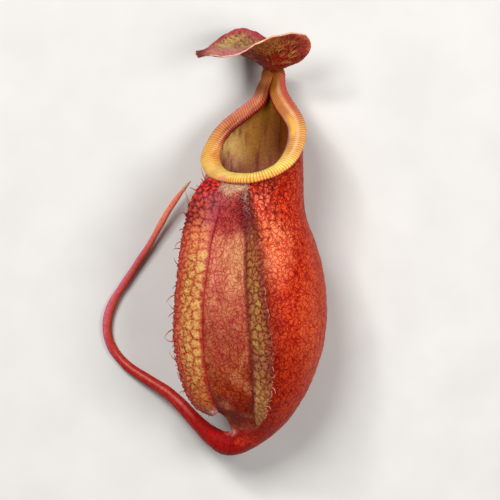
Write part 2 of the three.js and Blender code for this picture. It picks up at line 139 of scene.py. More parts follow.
# Lid from foot to tip: x, y, depth of the midrib, of the near edge and of the far edge.
LID = [
    (270, 68.5, -33, 277.5, 68, -29, 263, 67.5, -36),
    (264.5, 66, -31, 290.5, 64.5, -16, 269, 63.5, -47),
    (260, 63.3, -28.5, 301.5, 59.8, -3, 277, 58, -55),
    (255, 59.8, -25, 309.5, 52.5, 5, 283, 50, -60),
    (249, 57, -21, 312, 43.5, 10, 283, 43.5, -62),
    (243, 54.7, -17, 306, 34.3, 15, 276, 39, -62),
    (236.5, 51.6, -12, 291, 33, 19, 266, 36, -60),
    (230.5, 49.3, -7, 274, 36.5, 23, 255, 29.8, -55),
    (225, 48.3, -2, 258, 43.3, 26, 243, 26.6, -47),
    (219, 48.5, 3, 246, 50.8, 28, 231.5, 29.3, -38),
    (212.5, 49.7, 8, 235, 55, 29, 221, 35.5, -27),
    (206, 51.3, 13, 224, 56.3, 28, 212.5, 42.3, -13),
    (201, 52.7, 17, 211, 55, 25, 204.5, 48.5, 4),
    (195.8, 54.3, 20, 198.6, 58, 20.5, 195.2, 51, 18),
]
# Wings from top to bottom: x, y of the root, x, y of the free edge, how far that edge stands up.
LEFT_WING = [
    (216.5, 181.5, 208.5, 177.5, -3), (217.5, 192, 199.5, 186, -6.5),
    (217, 206, 191.5, 199.5, -9.5), (213.5, 222, 187, 214, -11), (209, 239, 183, 234, -12),
    (206.5, 260, 179.5, 256, -13),
    (203.6, 279, 177, 279, -13), (201, 302, 175, 302, -13), (200, 328, 173.5, 330, -13),
    (200.8, 349, 175, 349, -12), (202.8, 369, 178.5, 369, -11), (206.5, 386, 183.5, 387, -10),
    (210.5, 399, 191.5, 402.5, -8), (214, 406, 202, 412, -6), (216.5, 412, 212.5, 416, -3),
]
RIGHT_WING = [
    (246.5, 193, 248, 191, 2), (246, 206, 251, 205, 9), (246.5, 220, 254, 219, 14),
    (246.8, 240, 257.5, 238, 18), (246.8, 262, 261, 260, 22), (247, 285, 264, 283, 24),
    (248, 305, 266.5, 304, 25), (248.8, 325, 269, 325, 25), (251, 346, 272, 346, 24),
    (253, 369, 272.5, 369, 22), (254, 386, 272, 386, 18), (254.8, 403, 268.5, 403, 13),
    (256, 417, 264, 418, 8), (257.5, 425, 258.5, 426, 2),
]
# Tendril and spur from root to tip: x, y, depth and diameter.
TENDRIL = [
    (228, 444.3, -16.5, 23.7), (218, 441, -22, 20.8), (206.7, 433, -29, 17.6),
    (195, 421.6, -36, 15), (181, 406, -44, 13.4), (166.5, 393, -50, 12.3),
    (147, 380.5, -55.5, 10.9), (128, 368, -59.5, 9.8), (116.5, 356.5, -61.7, 9.2),
    (109.3, 345, -62.4, 9), (106, 331, -62.5, 9.1), (107.5, 315, -62.3, 9.4),
    (114, 299, -62, 8.7), (124, 283, -61, 7.9), (137.5, 262, -59, 7), (149, 244.6, -57, 6.5),
    (159, 226, -54, 6.3), (168.2, 210, -51, 6), (178, 196, -48, 4.8), (184.5, 187.5, -46, 3.4),
    (190.5, 180.5, -44.5, 1),
]
SPUR = [(273, 78, -36, 5.8), (274, 83, -47, 4.4), (276, 90, -54, 3), (280, 98, -58, 1.5)]

# %% [markdown]
# ## Camera
#
# The pitcher is seen from straight in front of its mouth, from far away, so that hardly anything
# is foreshortened. A long lens three metres off gives that flat, calm view.

# %% Camera over the part
VIEW_CENTRE = place(250, 250, 0) * (1, 1, 0)
VIEW_WIDTH = 500 * UNIT
CAMERA_HEIGHT = 3.0
MID_DEPTH = 24 * MM  # height at which the view is VIEW_WIDTH wide

camera_data = bpy.data.cameras.new("camera")
camera = bpy.data.objects.new("camera", camera_data)
bpy.context.scene.collection.objects.link(camera)
camera.location = Vector(VIEW_CENTRE) + Vector((0, 0, CAMERA_HEIGHT))
camera_data.sensor_width = 36
camera_data.lens = camera_data.sensor_width * (CAMERA_HEIGHT - MID_DEPTH) / VIEW_WIDTH
camera_data.clip_start, camera_data.clip_end = 0.5, 10
bpy.context.scene.camera = camera
print(f"lens {camera_data.lens:.0f} mm, {VIEW_WIDTH / MM:.1f} mm across the view")

# %% [markdown]
# ## Helpers for skins
#
# Every skin starts as a grid primitive. A function of the two grid directions then says where each
# of its points goes, which is how a lofted leaf is drawn from a few sections. Merging doubles
# closes the seam and the poles.

# %% Grid primitives and their points


def select_only(*pieces):
    bpy.ops.object.select_all(action="DESELECT")
    for piece in pieces:
        piece.select_set(True)
        bpy.context.view_layer.objects.active = piece


def points_of(piece):
    flat = np.empty(len(piece.data.vertices) * 3)
    piece.data.vertices.foreach_get("co", flat)
    return flat.reshape(-1, 3)


def set_points(piece, points):
    piece.data.vertices.foreach_set("co", np.ascontiguousarray(points, float).ravel())
    piece.data.update()


def grid(name, columns, rows):
    """A flat grid, and the place of each of its points from 0 to 1 along both directions."""
    select_only()
    bpy.ops.mesh.primitive_grid_add(x_subdivisions=columns, y_subdivisions=rows, size=2)
    piece = bpy.context.object
    piece.name = piece.data.name = name
    flat = points_of(piece)
    return piece, (flat[:, 0] + 1) / 2, (flat[:, 1] + 1) / 2


def smooth_shade(piece):
    bpy.ops.object.shade_smooth()
    print(f"{piece.name}: {sum(len(face.vertices) - 2 for face in piece.data.polygons)} triangles")


def close_up(piece):
    """Merge the seam and the poles, and turn all faces outwards."""
    select_only(piece)
    bpy.ops.object.mode_set(mode="EDIT")
    bpy.ops.mesh.select_all(action="SELECT")
    bpy.ops.mesh.remove_doubles(threshold=1e-7)
    bpy.ops.mesh.normals_make_consistent(inside=False)
    bpy.ops.object.mode_set(mode="OBJECT")
    smooth_shade(piece)


def apply_modifiers(piece):
    select_only(piece)
    for modifier in list(piece.modifiers):
        bpy.ops.object.modifier_apply(modifier=modifier.name)
    smooth_shade(piece)


# %% [markdown]
# ## Helpers for living colour
#
# A leaf is never one colour. Each point of a skin carries two painted colours, `deep` for its
# veins and furrows and `pale` for the tissue between them. The material later mixes the two with a
# fine pattern. The zones are soft patches, given by their place in the drawing.

# %% Painting helpers


def linear(code):
    """An sRGB hex colour as linear red, green and blue."""
    channels = np.array([int(code[i : i + 2], 16) / 255 for i in (1, 3, 5)])
    return np.where(channels < 0.04045, channels / 12.92, ((channels + 0.055) / 1.055) ** 2.4)


def rgba(code):
    return (*linear(code), 1)


def wobble(points, size, seed):
    """A smooth random field of about -2 to 2, with swells of this size in metres."""
    random = np.random.default_rng(seed)
    waves = unit_length(random.normal(size=(10, 3))) * random.uniform(0.6, 1.7, (10, 1))
    phases = random.uniform(0, 2 * np.pi, 10)
    return np.sin(points @ waves.T * (2 * np.pi / size) + phases).sum(-1) / 10**0.5


def patch(x, y, at_x, at_y, reach_x, reach_y, soft=0.6):
    """1 inside an oval of the drawing, falling to 0 round it."""
    far = np.hypot((x - at_x) / reach_x, (y - at_y) / reach_y)
    return smooth(1 + soft, 1 - soft, far)


class Paint:
    """The two painted colours of every point of a skin."""

    def __init__(self, count, deep, pale):
        self.deep = np.tile(linear(deep), (count, 1))
        self.pale = np.tile(linear(pale), (count, 1))

    def lay(self, mask, deep, pale):
        mask = np.clip(mask, 0, 1)[:, None]
        self.deep += (linear(deep) - self.deep) * mask
        self.pale += (linear(pale) - self.pale) * mask


def lay_spots(paint, x, y, places, radii, deep, pale, share=1):
    """Small spots of one size and colour at these places of the drawing."""
    for at_x, at_y in places:
        paint.lay(share * patch(x, y, at_x, at_y, *radii), deep, pale)


def store(piece, paint=None, **layers):
    """Keep a paint, numbers or colours on the points of a piece, for its material to read."""
    if paint:
        layers.update(deep=paint.deep, pale=paint.pale)
    for name, values in layers.items():
        if values.ndim == 1:
            layer = piece.data.attributes.new(name, "FLOAT", "POINT")
            layer.data.foreach_set("value", np.ascontiguousarray(values, np.float32))
        else:
            layer = piece.data.color_attributes.new(name, "FLOAT_COLOR", "POINT")
            colours = np.concatenate([np.clip(values, 0, 1), np.ones((len(values), 1))], 1)
            layer.data.foreach_set("color", colours.astype(np.float32).ravel())


# %% [markdown]
# The veins of a leaf close into a net, and each mesh of the net is a small bulging cell. Seeds
# strewn over the skin own the points nearest to them, and the veins run where two owners are
# equally near.


# %% A net of veins round strewn seeds
NEAREST = 5  # the seeds whose borders are looked at


def net_of(points, seeds, stretch):
    """For each point its distance to the nearest vein and to the second nearest, in metres, and
    the seed that owns it. Both are small where veins meet."""
    scale = np.array(stretch, float)
    tree = kdtree.KDTree(len(seeds))
    for k, seed in enumerate(seeds * scale):
        tree.insert(seed, k)
    tree.balance()
    near = np.array([[hit[1] for hit in tree.find_n(p, NEAREST)] for p in points * scale])
    own = seeds[near[:, 0]] * scale
    gaps = []
    for k in range(1, near.shape[1]):
        other = seeds[near[:, k]] * scale
        apart = np.maximum(np.linalg.norm(other - own, axis=1), 1e-9)
        gap = ((points * scale - other) ** 2).sum(1) - ((points * scale - own) ** 2).sum(1)
        gaps.append(gap / (2 * apart))
    gaps = np.sort(gaps, axis=0)
    return gaps[0], gaps[1], near[:, 0]


# %% [markdown]
# ## The cup
#
# The cup is a leathery leaf skin just over a millimetre thick, red outside and waxy inside. It is
# one closed shell: the rings of the grid climb the outer face from the foot to the lip, turn over
# at the rim and go down the inner face. The outer face is fine enough for its veins to be sunk as
# shape.

# %% The line of the wall
WALL = 1.3 * MM
PANEL_SINK = 0.8 * MM
NECK_KEEL = 0.8 * MM
RIM_LEAN = math.radians(25)


def root_x(wing, y):
    """Where the root of a wing lies at this height of the drawing."""
    rows = np.array(wing)
    return np.interp(y, rows[:, 1], rows[:, 0])


def between_wings(x, y):
    """0 at the root of the left wing and 1 at that of the right one."""
    left = root_x(LEFT_WING, y)
    return (x - left) / (root_x(RIGHT_WING, y) - left)


def panel_hollow(points):
    """How far the front sinks between the roots of the wings."""
    x, y, depth = drawn(points)
    across = between_wings(x, y)
    inside = (depth > 0) & (across > 0) & (across < 1)
    fade = span(182, 215, 385, 420, y)
    return np.where(inside, -PANEL_SINK * np.sin(np.pi * np.clip(across, 0, 1)) * fade, 0)


FOOT_SAG = 1.0  # rounds the turn from the foot to the tendril


def cup_section(t, cosine, sine):
    x1, y1, x2, y2, half_depth, middle = np.moveaxis(row_at(CUP_SECTIONS, t), -1, 0)
    foot = np.clip(t * (len(CUP_SECTIONS) - 1), 0, 1)
    y2 = y2 + 4 * FOOT_SAG * foot * (1 - foot)
    across = ((x1 + x2) + (x2 - x1) * cosine) / 2
    down = ((y1 + y2) + (y2 - y1) * cosine) / 2
    points = place(across, down, middle + half_depth * sine)
    points[..., 2] += panel_hollow(points)
    return points


def wall_line(s, t):
    """The wall at s round the mouth and t up the cup, with its waist at 1 and its rim at 2."""
    x, y, depth, cosine, sine, _ = np.moveaxis(row_at(RIM_ROWS, s, closed=True), -1, 0)
    size = np.hypot(cosine, sine)
    cosine, sine = cosine / size, sine / size
    low = cup_section(np.minimum(t, 1), cosine, sine)
    rim = place(x, y, depth)
    f = np.clip(t - 1, 0, 1)[..., None]
    pull = 0.9 * np.linalg.norm(rim - low, axis=-1, keepdims=True) * f * (1 - f)
    out = np.stack([cosine, 0 * cosine, sine], -1)
    line = low + (rim - low) * f * f * (3 - 2 * f)
    line = line + UP * pull * (1 - f - f * math.cos(RIM_LEAN))
    return line + out * pull * f * math.sin(RIM_LEAN)


def wall_normal(s, t):
    """The outward direction of the wall, from its slopes round and up the cup."""
    step = 1e-3
    around = wall_line(s + step, t) - wall_line(s - step, t)
    up = wall_line(s, np.minimum(t + step, 2)) - wall_line(s, np.maximum(t - step, 0))
    return unit_length(np.cross(up, around))


# %% Rings up the outer face and down the inner face
AROUND = 300
OUTER_RINGS, INNER_RINGS = 250, 44
FRONT_SHARE = 0.4  # the columns of the grid stand closer in front, where the veins are seen
INNER_FOOT = 0.23  # where the hollow begins

fine = np.linspace(0, 1, 2001)
rim_turns = row_at(RIM_ROWS, fine, closed=True)
turn_of = np.unwrap(np.arctan2(rim_turns[:, 4], rim_turns[:, 3]))
turn_of[-1] = turn_of[0] + 2 * np.pi


def even_rings(low, high, count):
    """Heights t whose rings are evenly spaced along the wall, averaged round it."""
    t = np.linspace(low, high, 500)
    lines = [wall_line(np.full_like(t, s), t) for s in np.arange(12) / 12]
    run = np.mean([run_along(line) for line in lines], axis=0)
    return np.interp(np.linspace(0, run[-1], count), run, t)


outer_t = even_rings(0, 2, OUTER_RINGS)
inner_t = even_rings(INNER_FOOT, 2, INNER_RINGS)[::-1]
ring_t = np.concatenate([[0], outer_t, inner_t, [INNER_FOOT]])
ring_out = np.concatenate([np.zeros(OUTER_RINGS + 1), np.full(INNER_RINGS + 1, -WALL)])
last_ring = len(ring_t) - 1

cup, u, v = grid("pitcher_cup", AROUND, last_ring)
ring = np.rint(v * last_ring).astype(int)
front_at = (np.pi / 2 - turn_of[0]) / (2 * np.pi)
crowded = u - FRONT_SHARE * np.sin(2 * np.pi * (u - front_at)) / (2 * np.pi)
turn = turn_of[0] + 2 * np.pi * (crowded % 1)
cup_s, cup_t, cup_out = np.interp(turn, turn_of, fine) % 1, ring_t[ring], ring_out[ring]
print(f"cup: {AROUND} x {last_ring} faces")

# %% The veins of the cup
random = np.random.default_rng(411)


def strewn(spacing):
    """Seeds over the cup's outer wall, in staggered rows with some disorder."""
    seeds = []
    for row, t in enumerate(even_rings(0.02, 1.98, round(100 * MM / spacing))):
        ring_s = np.linspace(0, 1, 200)
        girth = run_along(wall_line(ring_s, np.full(200, t)))[-1]
        count = max(6, round(girth / spacing))
        s = (np.arange(count) + 0.5 * (row % 2) + random.uniform(-0.42, 0.42, count)) / count
        s = np.interp(turn_of[0] + 2 * np.pi * (s % 1), turn_of, fine)
        seeds.append(wall_line(s, np.clip(t + random.uniform(-0.008, 0.008, count), 0, 2)))
    return np.concatenate(seeds)


def ruffled(points, size, reach, seed):
    """Points moved a little at random, which bends the veins that are read there."""
    shift = np.stack([wobble(points, size, seed + k) for k in range(3)], -1)
    return points + shift * reach


outer = cup_out == 0
normal = wall_normal(cup_s, cup_t)
skin_points = wall_line(cup_s, cup_t)
MAIN_CELL, PANEL_CELL = 2.5 * MM, 3.1 * MM
main_seeds = strewn(MAIN_CELL)
main_at = ruffled(skin_points, 2.2 * MM, 0.22 * MM, 5)
main_vein, main_corner, _ = net_of(main_at, main_seeds, (1, 0.72, 1))
panel_seeds = strewn(PANEL_CELL)
panel_at = ruffled(skin_points, 3 * MM, 0.35 * MM, 6)
panel_vein, _, _ = net_of(panel_at, panel_seeds, (1, 0.42, 1))
print(f"{len(main_seeds)} main cells on the cup")

# %% Where the cup's points go
x, y, depth = drawn(skin_points)
across = between_wings(x, y)
in_front = smooth(-12, 6, depth)
panel = span(-0.06, 0.02, 0.98, 1.06, across) * span(178, 186, 415, 432, y) * in_front
main_vein = np.where(panel > 0.5, panel_vein, main_vein)
main_vein = np.where(outer, main_vein, 1) + 3 * MM * smooth(0.16, 0.04, cup_t)
relief = 0.09 * MM * (smooth(0, 0.8 * MM, main_vein) - 0.55)  # the veins are sunk
relief += 0.05 * MM * wobble(skin_points * (1, 0.5, 1), 5 * MM, 21)
relief += 0.1 * MM * wobble(skin_points * (1, 0.3, 1), 4.5 * MM, 22) * panel
relief *= smooth(0, 0.35, cup_t) * smooth(2, 1.9, cup_t)
keel = NECK_KEEL * smooth(1.3, 1.8, cup_t) * np.maximum(0, -(normal @ FRONT))
lift = np.where(outer, keel + relief, cup_out)
cup_points = skin_points + normal * lift[:, None]
cup_points[:, 2] = np.maximum(cup_points[:, 2], np.where(outer, 0, WALL))
for end in (0, last_ring):
    cup_points[ring == end] = cup_points[ring == end].mean(0)
set_points(cup, cup_points)

# %% [markdown]
# ### Colour of the cup
#
# The body is orange red with a darker net and crimson towards the foot. Painted highlights lighten
# its shoulder, the body beside the top of the right wing and its right side.
# Between the wings a paler panel runs down the front: woolly and beige under the lip, dusky purple
# below it, then salmon and tan, and brown red near the foot. A crimson band follows the root of
# the left wing and a dark seam that of the right one. Inside, the wall is straw yellow on the left
# and dark brown on the right, with purple streaks and spots above the front of the lip.

# %% Paint the outer skin
paint = Paint(len(x), "#880400", "#d04618")
mottle = wobble(skin_points, 6 * MM, 31)
xw, yw = x + 1.5 * mottle, y + 3 * wobble(skin_points, 7 * MM, 32)
paint.lay(smooth(300, 390, yw - 0.2 * (x - 280)), "#840400", "#c43c14")
# Painted highlight: the shoulder of the belly is painted paler where the light falls on it.
paint.lay(patch(xw, yw, 273, 248, 17, 34), "#b43414", "#e88c60")
# Painted highlight: a paler patch on the body beside the top of the right wing.
paint.lay(0.6 * patch(xw, yw, 262, 205, 9, 16), "#b02c1c", "#f08a68")
paint.lay(0.7 * patch(xw, yw, 288, 200, 14, 22), "#980600", "#e44a18")
# Painted light: a paler band down the right side of the belly, where the light from the right
# grazes it.
paint.lay(0.5 * patch(xw, yw, 312, 330, 12, 60), "#a02814", "#e0683c")
paint.lay(smooth(412, 436, yw), "#7c0200", "#ac2004")
paint.lay(patch(xw, yw, 246, 441, 13, 9), "#982018", "#d05038")
paint.lay(0.8 * patch(x, y, 209, 176, 7, 7), "#7c3430", "#b48878")
paint.lay(smooth(0.22, 0.0, cup_t + 0.03 * mottle), "#700202", "#a4140e")
paint.lay(patch(xw, yw, 226, 446, 11, 16), "#6c0202", "#a0100e")
paint.lay(patch(xw, yw, 247, 443, 9, 5), "#880f08", "#c4381e")
paint.lay(0.5 * patch(xw, yw, 232, 424, 4, 7), "#8c5444", "#c89484")
paint.lay(0.8 * patch(xw, yw, 231, 431, 4.5, 3), "#a03c40", "#e8988c")

paint.lay(panel, "#9c4e3a", "#de9e7c")
zone_top = 186
for height, deep, pale in [  # the zones of the panel, from the lip to the foot
    (196, "#84141c", "#c45c50"), (210, "#640306", "#bc3e34"), (226, "#740a0c", "#b84434"),
    (244, "#9c3830", "#cc845c"), (275, "#a03c30", "#c8885c"), (310, "#902c26", "#b46c48"),
    (345, "#802218", "#a45438"), (372, "#7c1e10", "#a85830"), (392, "#740c00", "#a0461e"),
    (408, "#620400", "#9c2806"), (424, "#540400", "#882408"),
]:
    paint.lay(panel * smooth(zone_top, height, y + 2 * mottle), deep, pale)
    zone_top = height
# Painted shadow: the standing right wing's shade darkens the top right of the panel beside it.
paint.lay(panel * patch(xw, yw, 243, 212, 6, 20), "#580104", "#8e0e14")
paint.lay(0.8 * panel * patch(xw, yw, 219, 206, 6, 14), "#74101c", "#b84048")
paint.lay(0.8 * panel * patch(xw, yw, 218, 202, 3, 3), "#a82434", "#e06474")
paint.lay(0.7 * panel * patch(xw, yw, 236, 188, 16, 5), "#a07858", "#e4c8a4")
paint.lay(0.5 * panel * patch(xw, yw, 236, 262, 9, 28), "#a0603c", "#d4a46c")
paint.lay(0.4 * panel * patch(xw, yw, 213, 268, 6, 40), "#90242c", "#c4605c")
paint.lay(0.4 * panel * smooth(0.2, 1.6, wobble(skin_points * (1, 0.6, 1), 5 * MM, 34))
          * smooth(225, 245, y), "#a8502c", "#e0a870")
paint.lay(0.4 * panel * smooth(0.4, 1.8, wobble(skin_points * (1, 0.5, 1), 4 * MM, 35)),
          "#7c1418", "#b04040")

near_neck = patch(xw, yw, 272, 208, 20, 34) * (1 - panel) * in_front
thin_line = smooth(0.3 * MM, 0.05 * MM, main_vein)
near_corner = smooth(0.9 * MM, 0.1 * MM, main_corner)
paint.lay(thin_line * near_corner * near_neck, "#440606", "#70100c")
left_root = (x - root_x(LEFT_WING, y)) + 0.5 * mottle
right_root = (x - root_x(RIGHT_WING, y)) + 0.4 * mottle
wing_length = span(184, 196, 408, 424, y) * in_front
band = span(-3, 0.5, 1.5, 5, left_root) * wing_length
paint.lay(0.9 * band * smooth(200, 226, y), "#780410", "#a81422")
seam = span(-4.5, -1.5, 2, 5, right_root) * wing_length
paint.lay(0.75 * seam, "#4c080c", "#88201c")
shadow = span(-13, -4, 0, 4, right_root) * smooth(350, 385, y)
paint.lay(0.5 * shadow * wing_length, "#4c0804", "#842818")
paint.lay(0.8 * patch(xw, yw, 226, 428, 4, 5) * in_front, "#b06a62", "#f0c8c0")
SKIN_DOTS = [(283, 332), (254, 212), (257, 227), (259, 236), (272, 188), (270, 229), (276, 234)]
lay_spots(paint, x, y, SKIN_DOTS, (0.9, 1.3), "#240404", "#440806", 0.9 * in_front)
outer_paint = paint

# %% Paint the waxy inside
paint = Paint(len(x), "#dca858", "#fcdc8c")
paint.lay(smooth(220, 256, xw + 0.3 * (150 - y)), "#804e18", "#a87434")
paint.lay(smooth(244, 290, xw), "#481002", "#5c2204")
paint.lay(smooth(132, 96, y), "#643404", "#905a0a")
# Partly painted light: the olive strip at the right edge of the inside is painted paler to lift
# the shade that falls there.
paint.lay(0.25 * smooth(280, 292, x) * smooth(172, 146, y), "#8c4c1c", "#b87830")
paint.lay(smooth(146, 172, y), "#742e22", "#a46a46")
# Partly painted light: the pinkish tan wall low on the left inside the mouth is painted paler to
# lift the lip's shadow.
paint.lay(0.9 * patch(xw, yw, 224, 162, 12, 11), "#9c4c40", "#dc9c74")
streaks = smooth(0.6, 1.4, wobble(skin_points * (1, 0.08, 1), 1.7 * MM, 36))
paint.lay(0.85 * streaks * smooth(104, 132, y), "#601818", "#88402c")
spots = smooth(0.4, 1.3, wobble(skin_points, 1.8 * MM, 37))
paint.lay(0.85 * spots * patch(xw, yw, 228, 158, 16, 11), "#6c1c30", "#9c4c4c")
paint.lay(smooth(1.0, 0.4, cup_t), "#4c2410", "#805828")
paint.deep[outer], paint.pale[outer] = outer_paint.deep[outer], outer_paint.pale[outer]
fine_share = 0.8 + 0.2 * patch(xw, yw, 280, 200, 30, 40) * (1 - panel) - 0.1 * panel
fine_share -= 0.2 * smooth(0.1, 0.0, cup_t)
off_vein = smooth(0.02 * MM, 0.34 * MM, main_vein)
store(cup, paint, vein=off_vein, panel=panel, inner=(~outer).astype(float), fine=fine_share)
close_up(cup)

# %% [markdown]
# ## The lip
#
# The rim of the trap is a hard, glossy roll of tissue with fine ribs across it. A ring of points
# is carried round the mouth, and every eighth ring it is drawn in to leave a furrow. That gives
# real ribs, which break up the light. There are 140 of them, 0.75 mm apart. They run straight
# across in front, and downwards and inwards on the neck.

# %% The path of the lip and its ribs
LIP_RIBS = 140
RINGS_PER_RIB = 8
LIP_AROUND = 60

rim_line = place(*np.moveaxis(row_at(RIM_ROWS, fine, closed=True)[:, :3], -1, 0))
rim_run = run_along(rim_line)
girth = rim_run[-1] / MM
print(f"the rim is {girth:.0f} mm round, with a rib each {girth / LIP_RIBS:.2f} mm")


def lip_frame(s):
    """Middle of the lip, and the directions it faces and spreads in, at s round the mouth."""
    def middle(at):
        x, y, depth = np.moveaxis(row_at(RIM_ROWS, at, closed=True)[..., :3], -1, 0)
        return place(x, y, depth)

    along = unit_length(middle(s + 1e-3) - middle(s - 1e-3))
    y = row_at(RIM_ROWS, s, closed=True)[..., 1]
    lean = np.radians(5 + 61 * smooth(70, 180, y))[..., None]
    facing = FRONT * np.cos(lean) + UP * np.sin(lean)
    facing = unit_length(facing - (facing * along).sum(-1, keepdims=True) * along)
    return middle(s), facing, np.cross(facing, along)


lip, u, v = grid("pitcher_lip", LIP_AROUND, LIP_RIBS * RINGS_PER_RIB)
lip_s = np.interp(v * rim_run[-1], rim_run, fine) % 1
middle, facing, spread = lip_frame(lip_s)
half = row_at(RIM_ROWS, lip_s, closed=True)[:, 5] * UNIT
angle = 2 * np.pi * u
lip_x, lip_y, _ = drawn(middle)
# The two columns of the neck are fuller inwards, so that they nearly meet.
fuller = (1.3 * smooth(116, 86, lip_y) + 1.1 * smooth(84, 74, lip_y)) * UNIT
middle = middle - spread * fuller[:, None]
half = half + fuller

# %% Ribs and a rolled crest
oblique = 1.7 * smooth(112, 84, lip_y) + 0.9 * smooth(150, 108, lip_y)
oblique *= 2 * smooth(266, 278, lip_x) - 1  # on the neck the ribs run downwards and inwards
phase = (v * LIP_RIBS + oblique * np.cos(angle)) % 1
rib = np.clip(np.sin(np.pi * phase), 0, 1) ** 1.3
inner_edge = smooth(-0.75, -1.0, np.cos(angle))
depth_of_rib = (0.1 + 0.02 * smooth(110, 165, lip_y)) * MM
swell = (rib - 1) * depth_of_rib * (1 + 1.2 * inner_edge)
swell += 0.03 * MM * wobble(middle, 6 * MM, 41)
thick = np.where(np.sin(angle) > 0, 1.25 * MM, 0.95 * MM)
lip_points = (
    middle
    + spread * ((half + swell) * np.cos(angle))[:, None]
    + facing * ((thick + swell) * np.sin(angle))[:, None]
)
set_points(lip, lip_points)

# %% [markdown]
# ### Colour of the lip
#
# The lip is yellow in front, orange on the right and salmon to brown where it climbs to the neck.
# Its inner edge is a dark red line there and its outer edge is flushed pink. A paler line along
# the crest of its right arm is a painted highlight. The neck is duller than the front, which
# `shine` tells the material.

# %% Paint the lip
outwards = np.cos(angle)
lip_xw = lip_x + 1.5 * wobble(middle, 5 * MM, 42)
left_side = smooth(270, 255, lip_xw + 0.15 * (lip_y - 120))
right_side = 1 - left_side
paint = Paint(len(lip_s), "#b88020", "#ead26a")
paint.lay(smooth(0.5, 1.0, outwards) * smooth(160, 172, lip_y), "#a84c14", "#eca044")
paint.lay(left_side * smooth(172, 158, lip_y), "#ac7424", "#d8a048")
paint.lay(left_side * smooth(0.1, -0.7, outwards) * smooth(178, 168, lip_y),
          "#a04f18", "#ce8840")
paint.lay(right_side * smooth(168, 150, lip_y), "#a4641c", "#d29a54")
paint.lay(left_side * smooth(152, 120, lip_y), "#883c1c", "#c07450")
paint.lay(left_side * smooth(146, 112, lip_y) * smooth(0, 0.7, outwards),
          "#983c34", "#c87464")
paint.lay(left_side * smooth(150, 126, lip_y) * smooth(-0.1, -0.6, outwards),
          "#662004", "#a04818")
paint.lay(left_side * smooth(104, 84, lip_y), "#400c00", "#642802")
paint.lay(right_side * smooth(136, 108, lip_y), "#904418", "#bc763c")
paint.lay(right_side * smooth(104, 86, lip_y), "#6c2e06", "#905818")
paint.lay(right_side * patch(lip_x, lip_y, 294, 128, 9, 10) * smooth(0.4, -0.2, outwards),
          "#c08430", "#ecb850")
paint.lay(right_side * smooth(132, 104, lip_y) * smooth(0.2, 0.8, outwards),
          "#882824", "#b05040")
paint.lay(right_side * patch(lip_x, lip_y, 297, 134, 20, 16) * smooth(-0.3, -0.85, outwards),
          "#7c3c30", "#b07868")
# Painted highlight: a paler line along the crest of the lip's right arm.
painted_crest_highlight = right_side * smooth(0.3, 0.05, np.abs(outwards - 0.25))
painted_crest_highlight *= span(76, 92, 160, 172, lip_y)
paint.lay((0.25 + 0.3 * smooth(96, 116, lip_y)) * painted_crest_highlight, "#c88458", "#f8c49c")
paint.lay(0.6 * patch(lip_x, lip_y, 216, 172, 11, 8), "#a06018", "#e4b464")
edge_line = smooth(-0.72, -0.88, outwards) * smooth(156, 130, lip_y)
paint.lay(edge_line, "#500804", "#801c14")
paint.lay(0.6 * patch(lip_x, lip_y, 229, 178, 2, 4) * smooth(0.3, 0.8, outwards),
          "#c05c64", "#ec9498")
paint.lay(smooth(78, 70, lip_y), "#5c2008", "#98501c")
shine = 0.35 - 0.27 * smooth(118, 84, lip_y)
store(lip, paint, rib=rib, shine=shine)
close_up(lip)

# %% [markdown]
# ## The lid
#
# The lid is a leaf blade that twists as it leaves the neck, so its right half shows the dark
# underside and its left half the brighter upper face. The blade is drawn as a midrib with two
# edges, waved and furrowed along rays from its foot, and made thick with Solidify. A scaled sphere
# is its fleshy foot.

# %% The blade of the lid
LID_THICKNESS = 0.42 * MM
LID_ACROSS, LID_ALONG = 96, 150
LID_FOOT = place(272.8, 65, -33)
LID_FOOT_RADII = (10.5 * UNIT, 5.8 * UNIT, 7 * UNIT)

lid, u, v = grid("pitcher_lid", LID_ACROSS, LID_ALONG)
side = 2 * u - 1  # -1 at the far edge, 1 at the near edge
row = row_at(LID, v)
midrib, near_edge, far_edge = (place(*row[:, k : k + 3].T) for k in (0, 3, 6))
edge_point = np.where((side < 0)[:, None], far_edge, near_edge)
spread_out = np.abs(side)[:, None]
lid_points = midrib + (edge_point - midrib) * 0.985 * spread_out
belly = 4.4 * MM * np.abs(side) * (1 - np.abs(side)) * np.minimum(1, 4 * (1 - v))
lid_points += np.stack([0 * side, -0.7 + 0 * side, 0.7 * np.sign(side)], -1) * belly[:, None]
wave = wobble(lid_points, 4.5 * MM, 51) * 0.12 * MM + wobble(lid_points, 2 * MM, 52) * 0.04 * MM
lid_points[:, 1] += wave * smooth(0.3, 1, np.abs(side)) * np.sin(np.pi * np.clip(v, 0, 1)) ** 0.5
rays = np.arctan2(lid_points[:, 1] - LID_FOOT[1], lid_points[:, 0] - LID_FOOT[0])
reach = np.linalg.norm(lid_points - LID_FOOT, axis=1)
furrow = np.sin(26 * rays + 2 * wobble(lid_points, 6 * MM, 53)) * smooth(2 * MM, 8 * MM, reach)
lid_points[:, 2] += 0.05 * MM * furrow
lid_points[:, 2] += 0.25 * MM * smooth(0.06, 0, np.abs(side))  # the midrib stands up
set_points(lid, lid_points)

